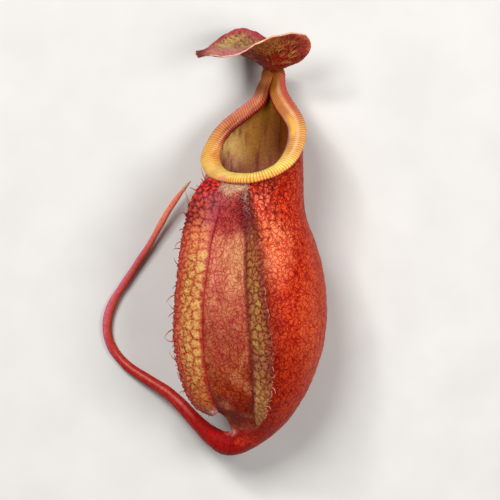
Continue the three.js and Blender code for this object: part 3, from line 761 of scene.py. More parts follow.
# %% Paint the lid's two faces
x, y, _ = drawn(lid_points)
xw = x + 1.2 * wobble(lid_points, 5 * MM, 54)
yw = y + 0.8 * wobble(lid_points, 4 * MM, 55)
rim_near = smooth(0.72, 1.0, np.abs(side))
rim_near = np.maximum(rim_near, smooth(224, 210, xw))
rim_near = np.maximum(rim_near, patch(xw, yw, 226, 55, 20, 6))
upper = Paint(len(x), "#803430", "#b07450")
upper.lay(patch(xw, yw, 238, 42, 26, 9), "#8c4c34", "#b89456")
upper.lay(smooth(0.6, 0.97, np.abs(side)), "#841c2c", "#b04c50")
upper.lay(smooth(222, 203, xw), "#842830", "#b45c54")
upper.lay(patch(xw, yw, 226, 54, 16, 4.5), "#842830", "#c2746c")
upper.lay(smooth(210, 200, xw), "#4c1010", "#742e28")
under = Paint(len(x), "#601008", "#9c3c20")
under.lay(patch(xw, yw, 268, 44, 16, 10), "#843818", "#c47438")
under.lay(smooth(288, 304, xw), "#640f0e", "#903c2b")
under.lay(patch(xw, yw, 272, 61, 12, 8), "#6c0602", "#a02008")
under.lay(0.8 * smooth(0.9, 1.0, np.abs(side)), "#8c3420", "#b86444")
store(lid, upper, under_deep=under.deep, under_pale=under.pale, margin=rim_near)
loop_points = np.empty(len(lid.data.loops), int)
lid.data.loops.foreach_get("vertex_index", loop_points)
ray_run = np.stack([rays * 9, reach / MM], -1)  # about millimetres both ways at mid blade
ray_layer = lid.data.uv_layers.new(name="rays")
ray_layer.data.foreach_set("uv", ray_run[loop_points].astype(np.float32).ravel())

for _ in range(3):
    lid.data.materials.append(None)  # room for the materials of the upper face, underside and edge
solid = lid.modifiers.new("thickness", "SOLIDIFY")
solid.thickness, solid.offset = LID_THICKNESS, 0
solid.material_offset, solid.material_offset_rim = 1, 2
apply_modifiers(lid)

# %% The fleshy foot of the lid
select_only()
bpy.ops.mesh.primitive_uv_sphere_add(segments=48, ring_count=24, radius=1, location=(0, 0, 0))
lid_foot = bpy.context.object
bpy.ops.object.mode_set(mode="EDIT")
bpy.ops.transform.resize(value=LID_FOOT_RADII)
bpy.ops.transform.translate(value=tuple(LID_FOOT))
bpy.ops.object.mode_set(mode="OBJECT")
bpy.ops.object.shade_smooth()
lid_foot.name = lid_foot.data.name = "pitcher_lid_foot"
foot = Paint(len(lid_foot.data.vertices), "#5c0a08", "#902010")
foot.lay(smooth(68, 72, drawn(points_of(lid_foot))[1]), "#6c300c", "#98581c")
store(lid_foot, foot)

# %% [markdown]
# ## The wings
#
# Two thin frills run down the front. Each is quilted: cells in two or three columns bulge between
# crimson veins, large by the root and small at the edge. The blade starts on the cup, found by
# looking straight down on it, and Solidify gives it a thickness that thins towards the edge.

# %% How a wing is set out
WING_SINK = 0.8 * MM  # how deep its root sits in the cup
WING_ARCH = 0.6 * MM  # how far its middle is arched up
WELL_ABOVE = 0.2  # from where the cup is looked for
cup_tree = BVHTree.FromPolygons(
    [tuple(p) for p in points_of(cup)], [tuple(f.vertices) for f in cup.data.polygons]
)


def on_cup(points):
    """The points brought down to the front of the cup."""
    out = points.copy()
    for k, p in enumerate(points):
        hit = cup_tree.ray_cast(Vector((p[0], p[1], WELL_ABOVE)), Vector((0, 0, -1)))[0]
        out[k, 2] = hit.z if hit else AXIS_HEIGHT
    return out


def wing_lines(rows, t):
    """Root and free edge of a wing at t down its length."""
    knots = np.linspace(0, 1, 60)
    from_x, from_y, edge_x, edge_y, rise = row_at(rows, knots).T
    root = on_cup(place(from_x, from_y, 0))
    root[:, 2] = np.convolve(np.pad(root[:, 2], 3, "edge"), np.ones(7) / 7, "valid")
    edge = place(edge_x, edge_y, 0)
    edge[:, 2] = root[:, 2] + rise * UNIT
    root = root - unit_length(edge - root) * WING_SINK
    return row_at(root, t), row_at(edge, t)


def wing_point(rows, t, w):
    """A point of a wing at t down its length and w from its root to its free edge."""
    root, edge = wing_lines(rows, t)
    point = root + (edge - root) * np.asarray(w)[..., None]
    arch = WING_ARCH * np.sin(np.pi * np.clip(w, 0, 1))
    point[..., 2] += arch * (0.2 + 0.8 * smooth(0.05, 0.3, t))
    return point


def column_seeds(rows, columns, random):
    """Seeds for the cells of a wing. A column has its place across, the spacing in mm, its
    disorder, and where it starts and ends down the wing."""
    seeds = []
    for at, spacing, disorder, top, foot in columns:
        t = np.linspace(top, foot, 200)
        line = wing_point(rows, t, np.full(200, at))
        run = run_along(line)
        count = round(run[-1] / (spacing * MM))
        places = (np.arange(count) + 0.5 + random.uniform(-disorder, disorder, count)) / count
        down = np.interp(places * run[-1], run, t)
        sideways = at + random.uniform(-1, 1, count) * disorder * 0.22
        seeds.append(wing_point(rows, down, sideways))
    return np.concatenate(seeds)


# %% Make a wing
WING_ALONG = 400
LEFT_THICKNESS, RIGHT_THICKNESS = 0.7 * MM, 0.6 * MM


def make_wing(name, rows, columns, faces_across, seed):
    """The quilted blade, how far across it its points lie, their places before the quilting,
    their distance to a vein and to a corner of veins, and a tint of their cell."""
    random = np.random.default_rng(seed)
    piece, w, v = grid(name, faces_across, WING_ALONG)
    flat = wing_point(rows, 1 - v, w)
    seeds = column_seeds(rows, columns, random)
    ruffle = ruffled(flat, 2.2 * MM, 0.13 * MM, seed)
    vein, corner, cell = net_of(ruffle, seeds, (1, 1, 1))
    bulge = smooth(0, 0.75 * MM, vein) * smooth(0.08, 0.25, w) * (1 - 0.6 * smooth(0.8, 1, w))
    points = flat.copy()
    points[:, 2] += (0.07 * bulge - 0.035) * MM
    scallop = 0.16 * MM * wobble(flat, 1.6 * MM, seed + 1) + 0.12 * MM * wobble(flat, 0.8 * MM, 9)
    points[:, 0] += scallop * smooth(0.75, 1, w) * (1 if rows is RIGHT_WING else -1)
    set_points(piece, points)
    tint = random.normal(size=len(seeds))[cell]
    return piece, w, flat, vein, corner, tint


def thicken_wing(piece, w, thickness):
    """Make a wing thick, and thinner towards its free edge."""
    group = piece.vertex_groups.new(name="body")
    for k, value in enumerate(w):
        group.add([k], float(1 - 0.6 * smooth(0.35, 1, value)), "REPLACE")
    solid = piece.modifiers.new("thickness", "SOLIDIFY")
    solid.thickness, solid.offset = thickness, -0.6
    solid.vertex_group = group.name
    apply_modifiers(piece)


# %% [markdown]
# The left wing is golden, crimson at its top and along its root, and lies open to the left. The
# right wing is olive green with a brown pink margin and stands up from the cup. Both have black
# specks.

# %% The left wing
LEFT_COLUMNS = [  # three columns of cells and an edge, and smaller cells at the top
    (0.24, 2.6, 0.42, 0.17, 1), (0.56, 2.1, 0.45, 0.17, 1), (0.8, 1.5, 0.45, 0.17, 1),
    (0.95, 1.1, 0.45, 0.1, 1), (0.1, 1.3, 0.5, 0, 0.17), (0.4, 1.3, 0.5, 0, 0.17),
    (0.7, 1.2, 0.5, 0, 0.17), (0.95, 1.1, 0.5, 0, 0.1),
]
wing_left, w, flat, vein, corner, tint = make_wing(
    "pitcher_wing_left", LEFT_WING, LEFT_COLUMNS, 56, 61
)
x, y, _ = drawn(flat)
yw = y + 3 * wobble(flat, 4 * MM, 62)
cells = Paint(len(w), "#901c12", "#c49a54")
cells.lay(0.4 * smooth(-0.2, 1.4, tint), "#901c12", "#ccb058")
cells.lay(0.4 * smooth(0.2, 1.6, -tint), "#8c1c10", "#bc7c44")
cells.lay(smooth(360, 405, yw), "#98200c", "#bc783c")
cells.lay(0.75 * smooth(275, 232, yw), "#a01c18", "#cc784c")
cells.lay(smooth(0.62, 0.88, w), "#901810", "#b86044")
cells.lay(0.7 * smooth(0.88, 1.0, w), "#601410", "#98443c")
cells.lay(smooth(236, 208, yw - 12 * (w - 0.5)), "#680808", "#b04230")
cells.lay(smooth(206, 190, yw), "#740608", "#d83830")
cells.lay(0.6 * patch(x, y, 205, 203, 9, 9) * smooth(0, 1, tint), "#74101c", "#cc6064")
cells.lay(smooth(0.6, 0.15, w) * span(186, 194, 215, 240, y), "#640c16", "#a83840")
junction = smooth(0.5 * MM, 0.1 * MM, corner)
cells.lay(0.7 * junction * smooth(240, 222, yw), "#24040a", "#48080c")
root_width = 0.18 + 0.16 * smooth(340, 395, y)
root_band = 0.9 * smooth(root_width, 0.0, w + 0.04 * wobble(flat, 2.5 * MM, 63))
cells.lay(root_band * smooth(205, 230, y), "#6c040e", "#a41220")
cells.lay(patch(x, y, 214, 411, 5, 3), "#c06868", "#f0c4bc")
LEFT_DOTS = [(181, 334), (186, 347), (194, 337), (206, 226), (197, 206), (203, 222)]
lay_spots(cells, x, y, LEFT_DOTS, (0.8, 0.8), "#1c0606", "#30100c")
blended = np.maximum(root_band, 0.5 * smooth(0.5, 0.15, w) * smooth(240, 215, y))
open_vein = np.maximum(smooth(0.0, 0.14 * MM, vein), 0.9 * blended)
cell_level = smooth(0.1 * MM, 0.9 * MM, vein)
store(wing_left, cells, vein=open_vein, cell=cell_level + (0.5 - cell_level) * blended)
thicken_wing(wing_left, w, LEFT_THICKNESS)

# %% The right wing
RIGHT_COLUMNS = [(0.3, 2.3, 0.42, 0, 1), (0.6, 2.0, 0.42, 0, 1), (0.86, 1.4, 0.45, 0, 1)]
wing_right, w, flat, vein, _, tint = make_wing(
    "pitcher_wing_right", RIGHT_WING, RIGHT_COLUMNS, 52, 71
)
x, y, _ = drawn(flat)
yw = y + 3 * wobble(flat, 4 * MM, 72)
cells = Paint(len(w), "#6e120c", "#b47e40")
cells.lay(0.7 * smooth(-0.2, 1.4, tint), "#70140c", "#c0a44c")
cells.lay(0.6 * smooth(0.2, 1.6, -tint), "#641008", "#a0643c")
cells.lay(smooth(0.6, 0.95, w), "#5e1008", "#a0442c")
cells.lay(0.6 * patch(x, y, 262, 362, 9, 12), "#642018", "#a85c44")
cells.lay(0.6 * smooth(300, 240, yw), "#6c1810", "#a85c30")
cells.lay(smooth(246, 214, yw), "#4e080a", "#842418")
cells.lay(smooth(375, 405, yw), "#84381c", "#cc9450")
ragged = w + 0.04 * wobble(flat, 2.5 * MM, 73)
cells.lay(0.8 * smooth(0.3, 0.08, ragged), "#540a10", "#842024")
cells.lay(0.8 * smooth(0.93, 1.0, w), "#4c1414", "#803c34")
RIGHT_DOTS = [(259, 319), (265, 314), (270, 338), (266, 353), (261, 356), (265, 361), (262, 365),
              (259, 368), (268, 331), (255, 393)]
lay_spots(cells, x, y, RIGHT_DOTS, (0.8, 0.9), "#180606", "#241008")
root_band = 0.8 * smooth(0.24, 0.06, ragged)
open_vein = np.maximum(smooth(0.0, 0.16 * MM, vein), 0.9 * root_band)
cell_level = smooth(0.1 * MM, 0.8 * MM, vein)
store(wing_right, cells, vein=open_vein, cell=cell_level * (1 - root_band))
thicken_wing(wing_right, w, RIGHT_THICKNESS)

# %% [markdown]
# ## The stalks
#
# The tendril is the leaf's long midrib. It leaves the foot of the cup as thick as the foot itself
# and tapers through one wide bend to a dry tip. Its first ring is the cup's own first ring, so the
# two meet without a step, and one ring more rounds the turn. A painted highlight follows its upper
# ridge, and its bend has painted light on the outer side and painted shade on the inner one.
# The spur is a short soft prickle behind the neck.

# %% Rings along a stalk
TENDRIL_AROUND, TENDRIL_ALONG = 28, 360


def stalk_rings(rows, angles):
    """A ring of points round the path at each row of a stalk."""
    rows = np.array(rows, float)
    t = np.linspace(0, 1, len(rows))
    middle = place(*rows[:, :3].T)
    ahead, behind = (place(*row_at(rows, t + d)[:, :3].T) for d in (1e-3, -1e-3))
    along = unit_length(ahead - behind)
    beside = unit_length(np.cross(along, (0, 0, 1)))
    above = np.cross(beside, along)
    radius = rows[:, 3] * UNIT / 2
    ring = beside[:, None] * np.cos(angles)[None, :, None]
    ring = ring + above[:, None] * np.sin(angles)[None, :, None]
    return middle[:, None] + ring * radius[:, None, None]


def make_stalk(name, rings, length_faces, wander):
    """A closed stalk through the rings, whose surface wanders in and out by so many metres."""
    around = rings.shape[1] - 1
    piece, u, v = grid(name, around, length_faces)
    column = np.rint(u * around).astype(int)
    along = row_at(rings, v)
    points = along[np.arange(len(v)), column]
    middle = along[:, :-1].mean(1)
    points += unit_length(points - middle) * (wobble(points, 9 * MM, 81) * wander)[:, None]
    points[:, 2] = np.maximum(points[:, 2], 0.02 * MM)
    for end in (0, 1):
        points[v == end] = points[v == end].mean(0)
    set_points(piece, points)
    return piece, u, v


angles = np.linspace(0, 2 * np.pi, TENDRIL_AROUND + 1)
rings = stalk_rings(TENDRIL, angles)
rings[0] = cup_section(np.zeros_like(angles), -np.cos(angles), np.sin(angles))
LET_OUT = np.array([-0.3, -1.4, 0]) * UNIT  # on the lower side of the turn
turn_ring = (rings[0] + rings[1]) / 2 + np.clip(-np.cos(angles), 0, 1)[:, None] * LET_OUT
rings = np.insert(rings, 1, turn_ring, axis=0)
spans = len(TENDRIL) - 1
even_t = np.interp(np.linspace(0, 1, 161), [0, 1 / spans, 1], [0, 2 / (spans + 1), 1])
rings = row_at(rings, even_t)
inside_cup = rings[:1] * 0.6 + rings[:1].mean(1, keepdims=True) * 0.4 + (0.8 * MM, 0.5 * MM, 0)
rings = np.concatenate([inside_cup, rings])
tendril, u, v = make_stalk("pitcher_tendril", rings, TENDRIL_ALONG, 0.07 * MM)

# %% Paint the tendril
points = points_of(tendril)
x, y, _ = drawn(points)
speckle = wobble(points, 2.2 * MM, 82)
outer_side, upper_side = -np.cos(2 * np.pi * u), np.sin(2 * np.pi * u)
paint = Paint(len(v), "#6c0202", "#a0100e")
paint.lay(smooth(0.12, 0.25, v + 0.02 * speckle), "#84080a", "#bc3028")
paint.lay(smooth(0.4, 0.55, v + 0.02 * speckle), "#982c28", "#c4544c")
# The bend is pink on its outer side and brown red on its inner side: its own colours, with a
# painted highlight on the outer side and painted shade on the inner one.
paint.lay(0.8 * span(0.35, 0.5, 0.7, 0.85, v) * smooth(0, 0.8, outer_side), "#9c3048", "#d8708c")
paint.lay(0.8 * span(0.3, 0.45, 0.8, 0.9, v) * smooth(0, -0.8, outer_side), "#7c1c10", "#b84c30")
paint.lay(smooth(0.7, 0.84, v), "#c45840", "#ec8468")
# Painted highlight: a pale line along the upper ridge of the tendril.
painted_ridge_highlight = smooth(0.3, 0.05, np.abs(outer_side + 0.15)) * smooth(0, 0.3, upper_side)
paint.lay(0.6 * painted_ridge_highlight * span(0.14, 0.22, 0.36, 0.46, v), "#a8403c", "#e09080")
paint.lay(smooth(0.9, 0.97, v), "#a06040", "#d09070")
paint.lay(smooth(0.965, 0.995, v), "#6c5030", "#a08458")
paint.lay(0.5 * smooth(0.6, 1.6, speckle) * smooth(0.6, 0.4, v), "#5c060c", "#8c1a20")
paint.lay(0.8 * patch(x, y, 229.5, 431.5, 4.5, 3), "#a03c40", "#e8988c")
store(tendril, paint, vein=np.ones(len(v)), panel=0.1 + 0.6 * smooth(0.1, 0.4, v),
      fine=0.6 - 0.3 * smooth(0, 0.12, v))
close_up(tendril)

# %% The spur
spur_rings = stalk_rings(SPUR, np.linspace(0, 2 * np.pi, 15))
spur_rings = row_at(spur_rings, np.linspace(0, 1, 31))
spur, _, v = make_stalk("pitcher_spur", spur_rings, 40, 0.03 * MM)
paint = Paint(len(v), "#7c3418", "#b8683c")
paint.lay(smooth(0.5, 1, v), "#6c3c1c", "#a87848")
store(spur, paint)
close_up(spur)

# %% [markdown]
# ## Fringe and wool
#
# Stiff hairs stand along the free edge of each wing, red at the root and tan at the hooked tip,
# and the wall under the lip is woolly. One hair is modelled, a cone cut into joints by bisecting.
# Each copy has its joints laid along its own bent line.

# %% One hair, and its copies
ASKEW = (0.13, 0.31, 1)  # a direction that no hair follows


def hair_template(sides, joints):
    """Points and faces of one straight hair, 1 long and 2 thick at its root."""
    select_only()
    bpy.ops.mesh.primitive_cone_add(
        vertices=sides, radius1=1, radius2=0, depth=1, location=(0, 0, 0.5), end_fill_type="NGON"
    )
    hair = bpy.context.object
    bpy.ops.object.mode_set(mode="EDIT")
    for joint in range(1, joints):
        bpy.ops.mesh.select_all(action="SELECT")
        bpy.ops.mesh.bisect(plane_co=(0, 0, joint / joints), plane_no=(0, 0, 1))
    bpy.ops.object.mode_set(mode="OBJECT")
    points = points_of(hair) + (0, 0, 0.5)
    faces = [list(face.vertices) for face in hair.data.polygons]
    bpy.data.objects.remove(hair, do_unlink=True)
    return points, faces


def hairs(name, spines, thickness, sides=5):
    """A piece of many hairs: each row of spines is the bent line of one hair."""
    joints = spines.shape[1] - 1
    points, faces = hair_template(sides, joints)
    step = np.rint(points[:, 2] * joints).astype(int)
    taper = 1 - 0.75 * points[:, 2]
    width_at = np.linalg.norm(points[:, :2], axis=1, keepdims=True)
    flat = np.where(width_at < 1e-6, 0, points[:, :2] / np.maximum(width_at, 1e-9))
    tangent = unit_length(np.gradient(spines, axis=1))
    beside = unit_length(np.cross(tangent, ASKEW))
    above = np.cross(beside, tangent)
    across = beside[:, step] * flat[None, :, :1] + above[:, step] * flat[None, :, 1:]
    width = (np.asarray(thickness)[:, None] / 2 * taper[None])[..., None]
    placed = spines[:, step] + across * width
    count, each = len(spines), len(points)
    mesh = bpy.data.meshes.new(name)
    copies = [[k + each * n for k in face] for n in range(count) for face in faces]
    mesh.from_pydata(placed.reshape(-1, 3).tolist(), [], copies)
    piece = bpy.data.objects.new(name, mesh)
    bpy.context.scene.collection.objects.link(piece)
    store(piece, tip=np.tile(points[:, 2], count))
    select_only(piece)
    smooth_shade(piece)
    return piece


def bent(roots, directions, lengths, bends, joints=6):
    """Lines that leave their roots in their directions and curl along the bends."""
    f = np.linspace(0, 1, joints + 1)[None, :, None]
    lengths = np.asarray(lengths)[:, None, None]
    return roots[:, None] + lengths * (directions[:, None] * f + bends[:, None] * f**2.5)


# %% The fringe of the wings
def wing_fringe(rows, visible, spare, spare_from, side, seed):
    """The lines and thicknesses of the visible hairs of a wing and of spare ones between them,
    which start this far down the wing. The side is -1 on the left and 1 on the right."""
    random = np.random.default_rng(seed)
    t = np.linspace(0, 1, 300)
    _, edge = wing_lines(rows, t)
    heights, lengths, rise = np.array(visible).T
    at = np.interp(heights, drawn(edge)[1], t)
    lengths = lengths * 1.35 * UNIT
    at = np.concatenate([at, random.uniform(spare_from, 0.97, spare)])
    lengths = np.concatenate([lengths, random.uniform(1.2, 4.0, spare) * UNIT])
    rise = np.concatenate([rise, random.uniform(-0.8, 0.8, spare)])
    root, edge = wing_lines(rows, at)
    out = unit_length(edge - root)
    out[:, 0] = side * np.abs(out[:, 0])
    direction = unit_length(out + np.stack([0 * at, rise, random.uniform(-0.1, 0.5, len(at))], -1))
    sway = random.uniform(0.3, 0.8, len(at)) * random.choice([-1, 1], len(at))
    curl = np.stack([-0.3 * side * np.abs(sway), sway, random.uniform(-0.3, 0.3, len(at))], -1)
    spines = bent(edge - direction * 0.5 * MM, direction, lengths + 0.5 * MM, curl)
    thickness = (0.24 + 0.24 * np.clip(lengths / (8 * UNIT), 0, 1)) * MM
    return spines, thickness


# Height in the drawing, length in drawing units, and how steeply each visible hair climbs.
LEFT_HAIRS = [
    (180, 8, 0.9), (182, 6, 1.4), (187, 4, 0.6), (191, 9, 0.5), (203, 8, 0.8), (205, 5, 0.2),
    (214, 9, 0.2), (217, 4, 0.5), (230, 7, 0.5), (242, 7, 0.1), (249, 8, 0.2), (265, 6, 0.3),
    (285, 4, -0.3), (295, 9, -0.1), (309, 6, 0.1), (312, 6, -0.3), (329, 9, -0.2), (341, 9, -0.3),
    (346, 4, 0.6), (361, 8, 0.4), (363, 6, 0.9), (366, 5, 1.0), (373, 5, 1.1), (381, 6, 0.8),
    (391, 6, 0.3),
]
left_spines, left_thick = wing_fringe(LEFT_WING, LEFT_HAIRS, 60, 0.02, -1, 91)
fringe_left = hairs("pitcher_fringe_left", left_spines, left_thick)
RIGHT_HAIRS = [
    (309, 4, 0.1), (334, 5, -0.6), (377, 5, -0.3), (387, 6, 0.1), (398, 5, 0.2), (401, 4, -0.2),
    (406, 6, 0.2), (412, 4, -0.3), (415, 5, -0.6), (418, 5, -0.4),
]
right_spines, right_thick = wing_fringe(RIGHT_WING, RIGHT_HAIRS, 16, 0.4, 1, 92)
fringe_right = hairs("pitcher_fringe_right", right_spines, 0.6 * right_thick)

# %% Wool under the lip
random = np.random.default_rng(93)
WOOL = 1700
ON_WING = WOOL // 4  # the first quarter stands on the top end of the right wing
wool_y = 182 + 52 * random.uniform(0, 1, WOOL) ** 1.5
wool_x = random.uniform(212 - 0.1 * (wool_y - 182), 250, WOOL)
root = on_cup(place(wool_x, wool_y, 0))
down_wing, across_wing = (random.uniform(*ends, ON_WING) for ends in ((0, 0.24), (0.1, 0.75)))
wing_roots = wing_point(RIGHT_WING, down_wing, across_wing)
root[:ON_WING] = wing_roots + (0, 0, 0.1 * MM)
wool_y[:ON_WING] = drawn(wing_roots)[1]
lie = random.normal(size=(WOOL, 3)) * (0.8, 0.8, 0.25) + (0, -0.3, 0.55)
curl = random.normal(size=(WOOL, 3)) * (0.5, 0.5, 0.1)
lengths = random.uniform(0.6, 1.3, WOOL) * MM
spines = bent(root - (0, 0, 0.08 * MM), unit_length(lie), lengths, curl, joints=3)
wool = hairs("pitcher_wool", spines, np.full(WOOL, 0.085 * MM), sides=3)
wool_y[:ON_WING] -= 20 * random.uniform(0, 1, ON_WING)  # so it is tan on the wing
hair_y = np.repeat(wool_y + random.normal(size=WOOL) * 4, len(wool.data.vertices) // WOOL)
store(wool, beige=1 - smooth(188, 202, hair_y))

# %% [markdown]
# ## Materials
#
# One small function adds a node with its settings and links. Sizes are real ones: a pattern with
# meshes of so many millimetres has a scale of one thousand over that size, because the points are
# in metres. Nearly every skin mixes its two painted colours by a level, a weighted sum of its
# patterns.

# %% Node helper and new materials


def add(tree, kind, inputs=None, out=0, stops=(), **settings):
    """Add a node, set or link its inputs by name or number, and return one of its outputs."""
    node = tree.nodes.new("ShaderNode" + kind)
    for name, value in settings.items():
        setattr(node, name, value)
    for _ in stops[2:]:
        node.color_ramp.elements.new(0.5)
    for k, (position, colour) in enumerate(stops):
        node.color_ramp.elements[k].position = position
        node.color_ramp.elements[k].color = rgba(colour)
    for socket, value in (inputs or {}).items():
        if isinstance(value, bpy.types.NodeSocket):
            tree.links.new(value, node.inputs[socket])
        else:
            node.inputs[socket].default_value = value
    return node.outputs[out]


def each_mm(size):
    return 1000 / size


def new_material(name, **sockets):
    """A material, its tree, and its shader with these constants."""
    material = bpy.data.materials.new(name)
    material.use_nodes = True
    tree = material.node_tree
    skin = tree.nodes["Principled BSDF"]
    for socket, value in sockets.items():
        skin.inputs[socket.replace("_", " ")].default_value = value
    return material, tree, skin


def wear(piece, *materials):
    slots = piece.data.materials
    for k, material in enumerate(materials):
        if k == len(slots):
            slots.append(None)
        slots[k] = material


# %% What most skins share


def weighted_sum(tree, start, *terms):
    """The start plus every term times its weight."""
    for term, weight in terms:
        start = add(tree, "Math", {0: term, 1: weight, 2: start}, operation="MULTIPLY_ADD")
    return start


def painted(tree, level, names=("deep", "pale")):
    """The two painted colours, the first where the level is 0 and the second where it is 1."""
    deep, pale = (add(tree, "Attribute", out="Color", attribute_name=name) for name in names)
    return add(tree, "Mix", {0: level, 6: deep, 7: pale}, out=2, data_type="RGBA")


def finish(tree, skin, colour, height=None, strength=0.3, reach=0.1 * MM):
    """Give the shader its colour and, from a height, its small bumps."""
    tree.links.new(colour, skin.inputs["Base Color"])
    if height is not None:
        bump = add(tree, "Bump", {"Strength": strength, "Distance": reach, "Height": height})
        tree.links.new(bump, skin.inputs["Normal"])


# %% [markdown]
# ### Outer leaf skin of the cup
#
# Fresh leaf cuticle: a thin wax over soft cells, so it is satin rather than glossy, and a velvet
# of the finest hairs catches the rim light. Its pattern has three depths: the painted main veins,
# two nets of smaller veins that wander with a random field, and the grain of single cells. A real
# cell is finer than a pixel of the view, so the grain is drawn 0.45 mm coarse. On the panel the
# nets are smaller and the clouds between them are drawn out lengthwise into streaks.

# %% Outer skin: where its patterns lie
leaf, tree, skin = new_material(
    "satin leaf skin", Roughness=0.42, IOR=1.36, Specular_IOR_Level=0.1, Sheen_Weight=0.08,
    Sheen_Tint=rgba("#ff9c78"),
)
where = add(tree, "TexCoord", out="Object")
main, on_panel, fine_share = (
    add(tree, "Attribute", out="Fac", attribute_name=name) for name in ("vein", "panel", "fine")
)


def swayed(places, size, detail, reach):
    """The places moved at random, in swells of this size in mm and of this reach in metres."""
    noise = add(tree, "TexNoise", {"Vector": where, "Scale": each_mm(size), "Detail": detail},
                out="Color")
    shift = add(tree, "VectorMath", {0: noise, 1: (0.5, 0.5, 0.5)}, operation="SUBTRACT")
    scale = (reach, reach, reach)
    return add(tree, "VectorMath", {0: shift, 1: scale, 2: places}, operation="MULTIPLY_ADD")


bent_where = swayed(where, 1.3, 2.0, 0.7 * MM)
vein_at = swayed(bent_where, 3.0, 1.0, 3 * MM)


def vein_lines(stretch, size, half_width):
    """1 on the veins of a net whose meshes and veins have these sizes in mm."""
    stretched = add(tree, "Mapping", {"Vector": vein_at, "Scale": stretch})
    net = add(tree, "TexVoronoi", {"Vector": stretched, "Scale": each_mm(size)},
              feature="DISTANCE_TO_EDGE")
    return add(tree, "MapRange", {0: net, 1: 0.03 / size, 2: half_width / size, 3: 1.0, 4: 0.0})


# %% Outer skin: grain, veins and colour
grain = add(tree, "TexNoise", {"Vector": where, "Scale": each_mm(0.45), "Detail": 2.0,
                               "Roughness": 0.8})
cloud = add(tree, "TexNoise", {"Vector": where, "Scale": each_mm(3.2), "Detail": 3.0})
drawn_out = add(tree, "Mapping", {"Vector": bent_where, "Scale": (1, 0.4, 1)})
streak = add(tree, "TexNoise", {"Vector": drawn_out, "Scale": each_mm(1.1), "Detail": 4.0})

small_line = vein_lines((1, 0.85, 1), 1.15, 0.16)
large_line = add(tree, "Mix", {0: on_panel, 2: vein_lines((1, 0.7, 1), 2.7, 0.24),
                               3: vein_lines((1, 0.5, 1), 1.7, 0.2)})
long_line = vein_lines((1, 0.28, 1), 5.0, 0.24)
painted_line = add(tree, "MapRange", {0: main, 2: 0.7, 3: 0.6, 4: 0.0})
for line in (long_line, painted_line):
    large_line = add(tree, "Math", {0: large_line, 1: line}, operation="MAXIMUM")
strength = add(tree, "MapRange", {0: cloud, 1: 0.35, 2: 0.6, 3: 0.65, 4: 0.4})
strong_line = weighted_sum(tree, 0.0, (large_line, strength))
veins = weighted_sum(tree, 0.0, (small_line, -1.6), (strong_line, -2.2))

level = add(tree, "Mix", {0: on_panel, 2: weighted_sum(tree, -0.2, (cloud, 0.4)),
                          3: weighted_sum(tree, -0.3, (streak, 0.6))})
level = weighted_sum(tree, level, (grain, 3.4), (veins, fine_share))
level = add(tree, "MapRange", {0: level, 1: 0.15, 2: 1.95, 4: 0.88})
height = weighted_sum(tree, grain, (small_line, -0.5), (large_line, -0.5))
finish(tree, skin, painted(tree, level), height, 0.55, 0.12 * MM)

# %% [markdown]
# ### Waxy inner wall, lip and blades
#
# The inside of the trap is a slippery wax, smooth and a little greasy in its shine. The lip is
# hard and wet looking, the glossiest part, and duller on the neck, as its stored `shine` says. The
# wings and the lid are thin satin blades, whose cells are paler than the veins between them.

# %% Waxy inside of the cup
wax, tree, skin = new_material("waxy inner wall", Roughness=0.5, IOR=1.36, Specular_IOR_Level=0.12)
where = add(tree, "TexCoord", out="Object")
drawn_out = add(tree, "Mapping", {"Vector": where, "Scale": (1, 0.22, 1)})
streak = add(tree, "TexNoise", {"Vector": drawn_out, "Scale": each_mm(2.2), "Detail": 4.0})
grain = add(tree, "TexNoise", {"Vector": where, "Scale": each_mm(0.6), "Detail": 3.0})
level = weighted_sum(tree, -0.8, (streak, 1.2), (grain, 1.4))
finish(tree, skin, painted(tree, level), streak)

# %% Hard glossy lip
gloss, tree, skin = new_material("hard glossy lip", Roughness=0.24, IOR=1.45)
where = add(tree, "TexCoord", out="Object")
ribbed, shine = (add(tree, "Attribute", out="Fac", attribute_name=n) for n in ("rib", "shine"))
cloud = add(tree, "TexNoise", {"Vector": where, "Scale": each_mm(2.4), "Detail": 4.0})
level = weighted_sum(tree, -0.28, (ribbed, 0.75), (cloud, 0.9))
tree.links.new(shine, skin.inputs["Specular IOR Level"])
finish(tree, skin, painted(tree, level))

# %% Quilted wing blade
quilted, tree, skin = new_material(
    "quilted wing blade", Roughness=0.44, IOR=1.36, Specular_IOR_Level=0.2
)
where = add(tree, "TexCoord", out="Object")
off_vein, in_cell = (add(tree, "Attribute", out="Fac", attribute_name=n) for n in ("vein", "cell"))
grain = add(tree, "TexNoise", {"Vector": where, "Scale": each_mm(0.55), "Detail": 2.0})
small_net = add(tree, "TexVoronoi", {"Vector": where, "Scale": each_mm(0.8)},
                feature="DISTANCE_TO_EDGE")
off_small_vein = add(tree, "MapRange", {0: small_net, 2: 0.15, 3: 0.7})
level = weighted_sum(tree, -0.9, (in_cell, 0.5), (grain, 2.6))
for share in (off_small_vein, off_vein):
    level = add(tree, "Math", {0: level, 1: share}, operation="MULTIPLY")
finish(tree, skin, painted(tree, level), weighted_sum(tree, off_vein, (grain, 0.5)))


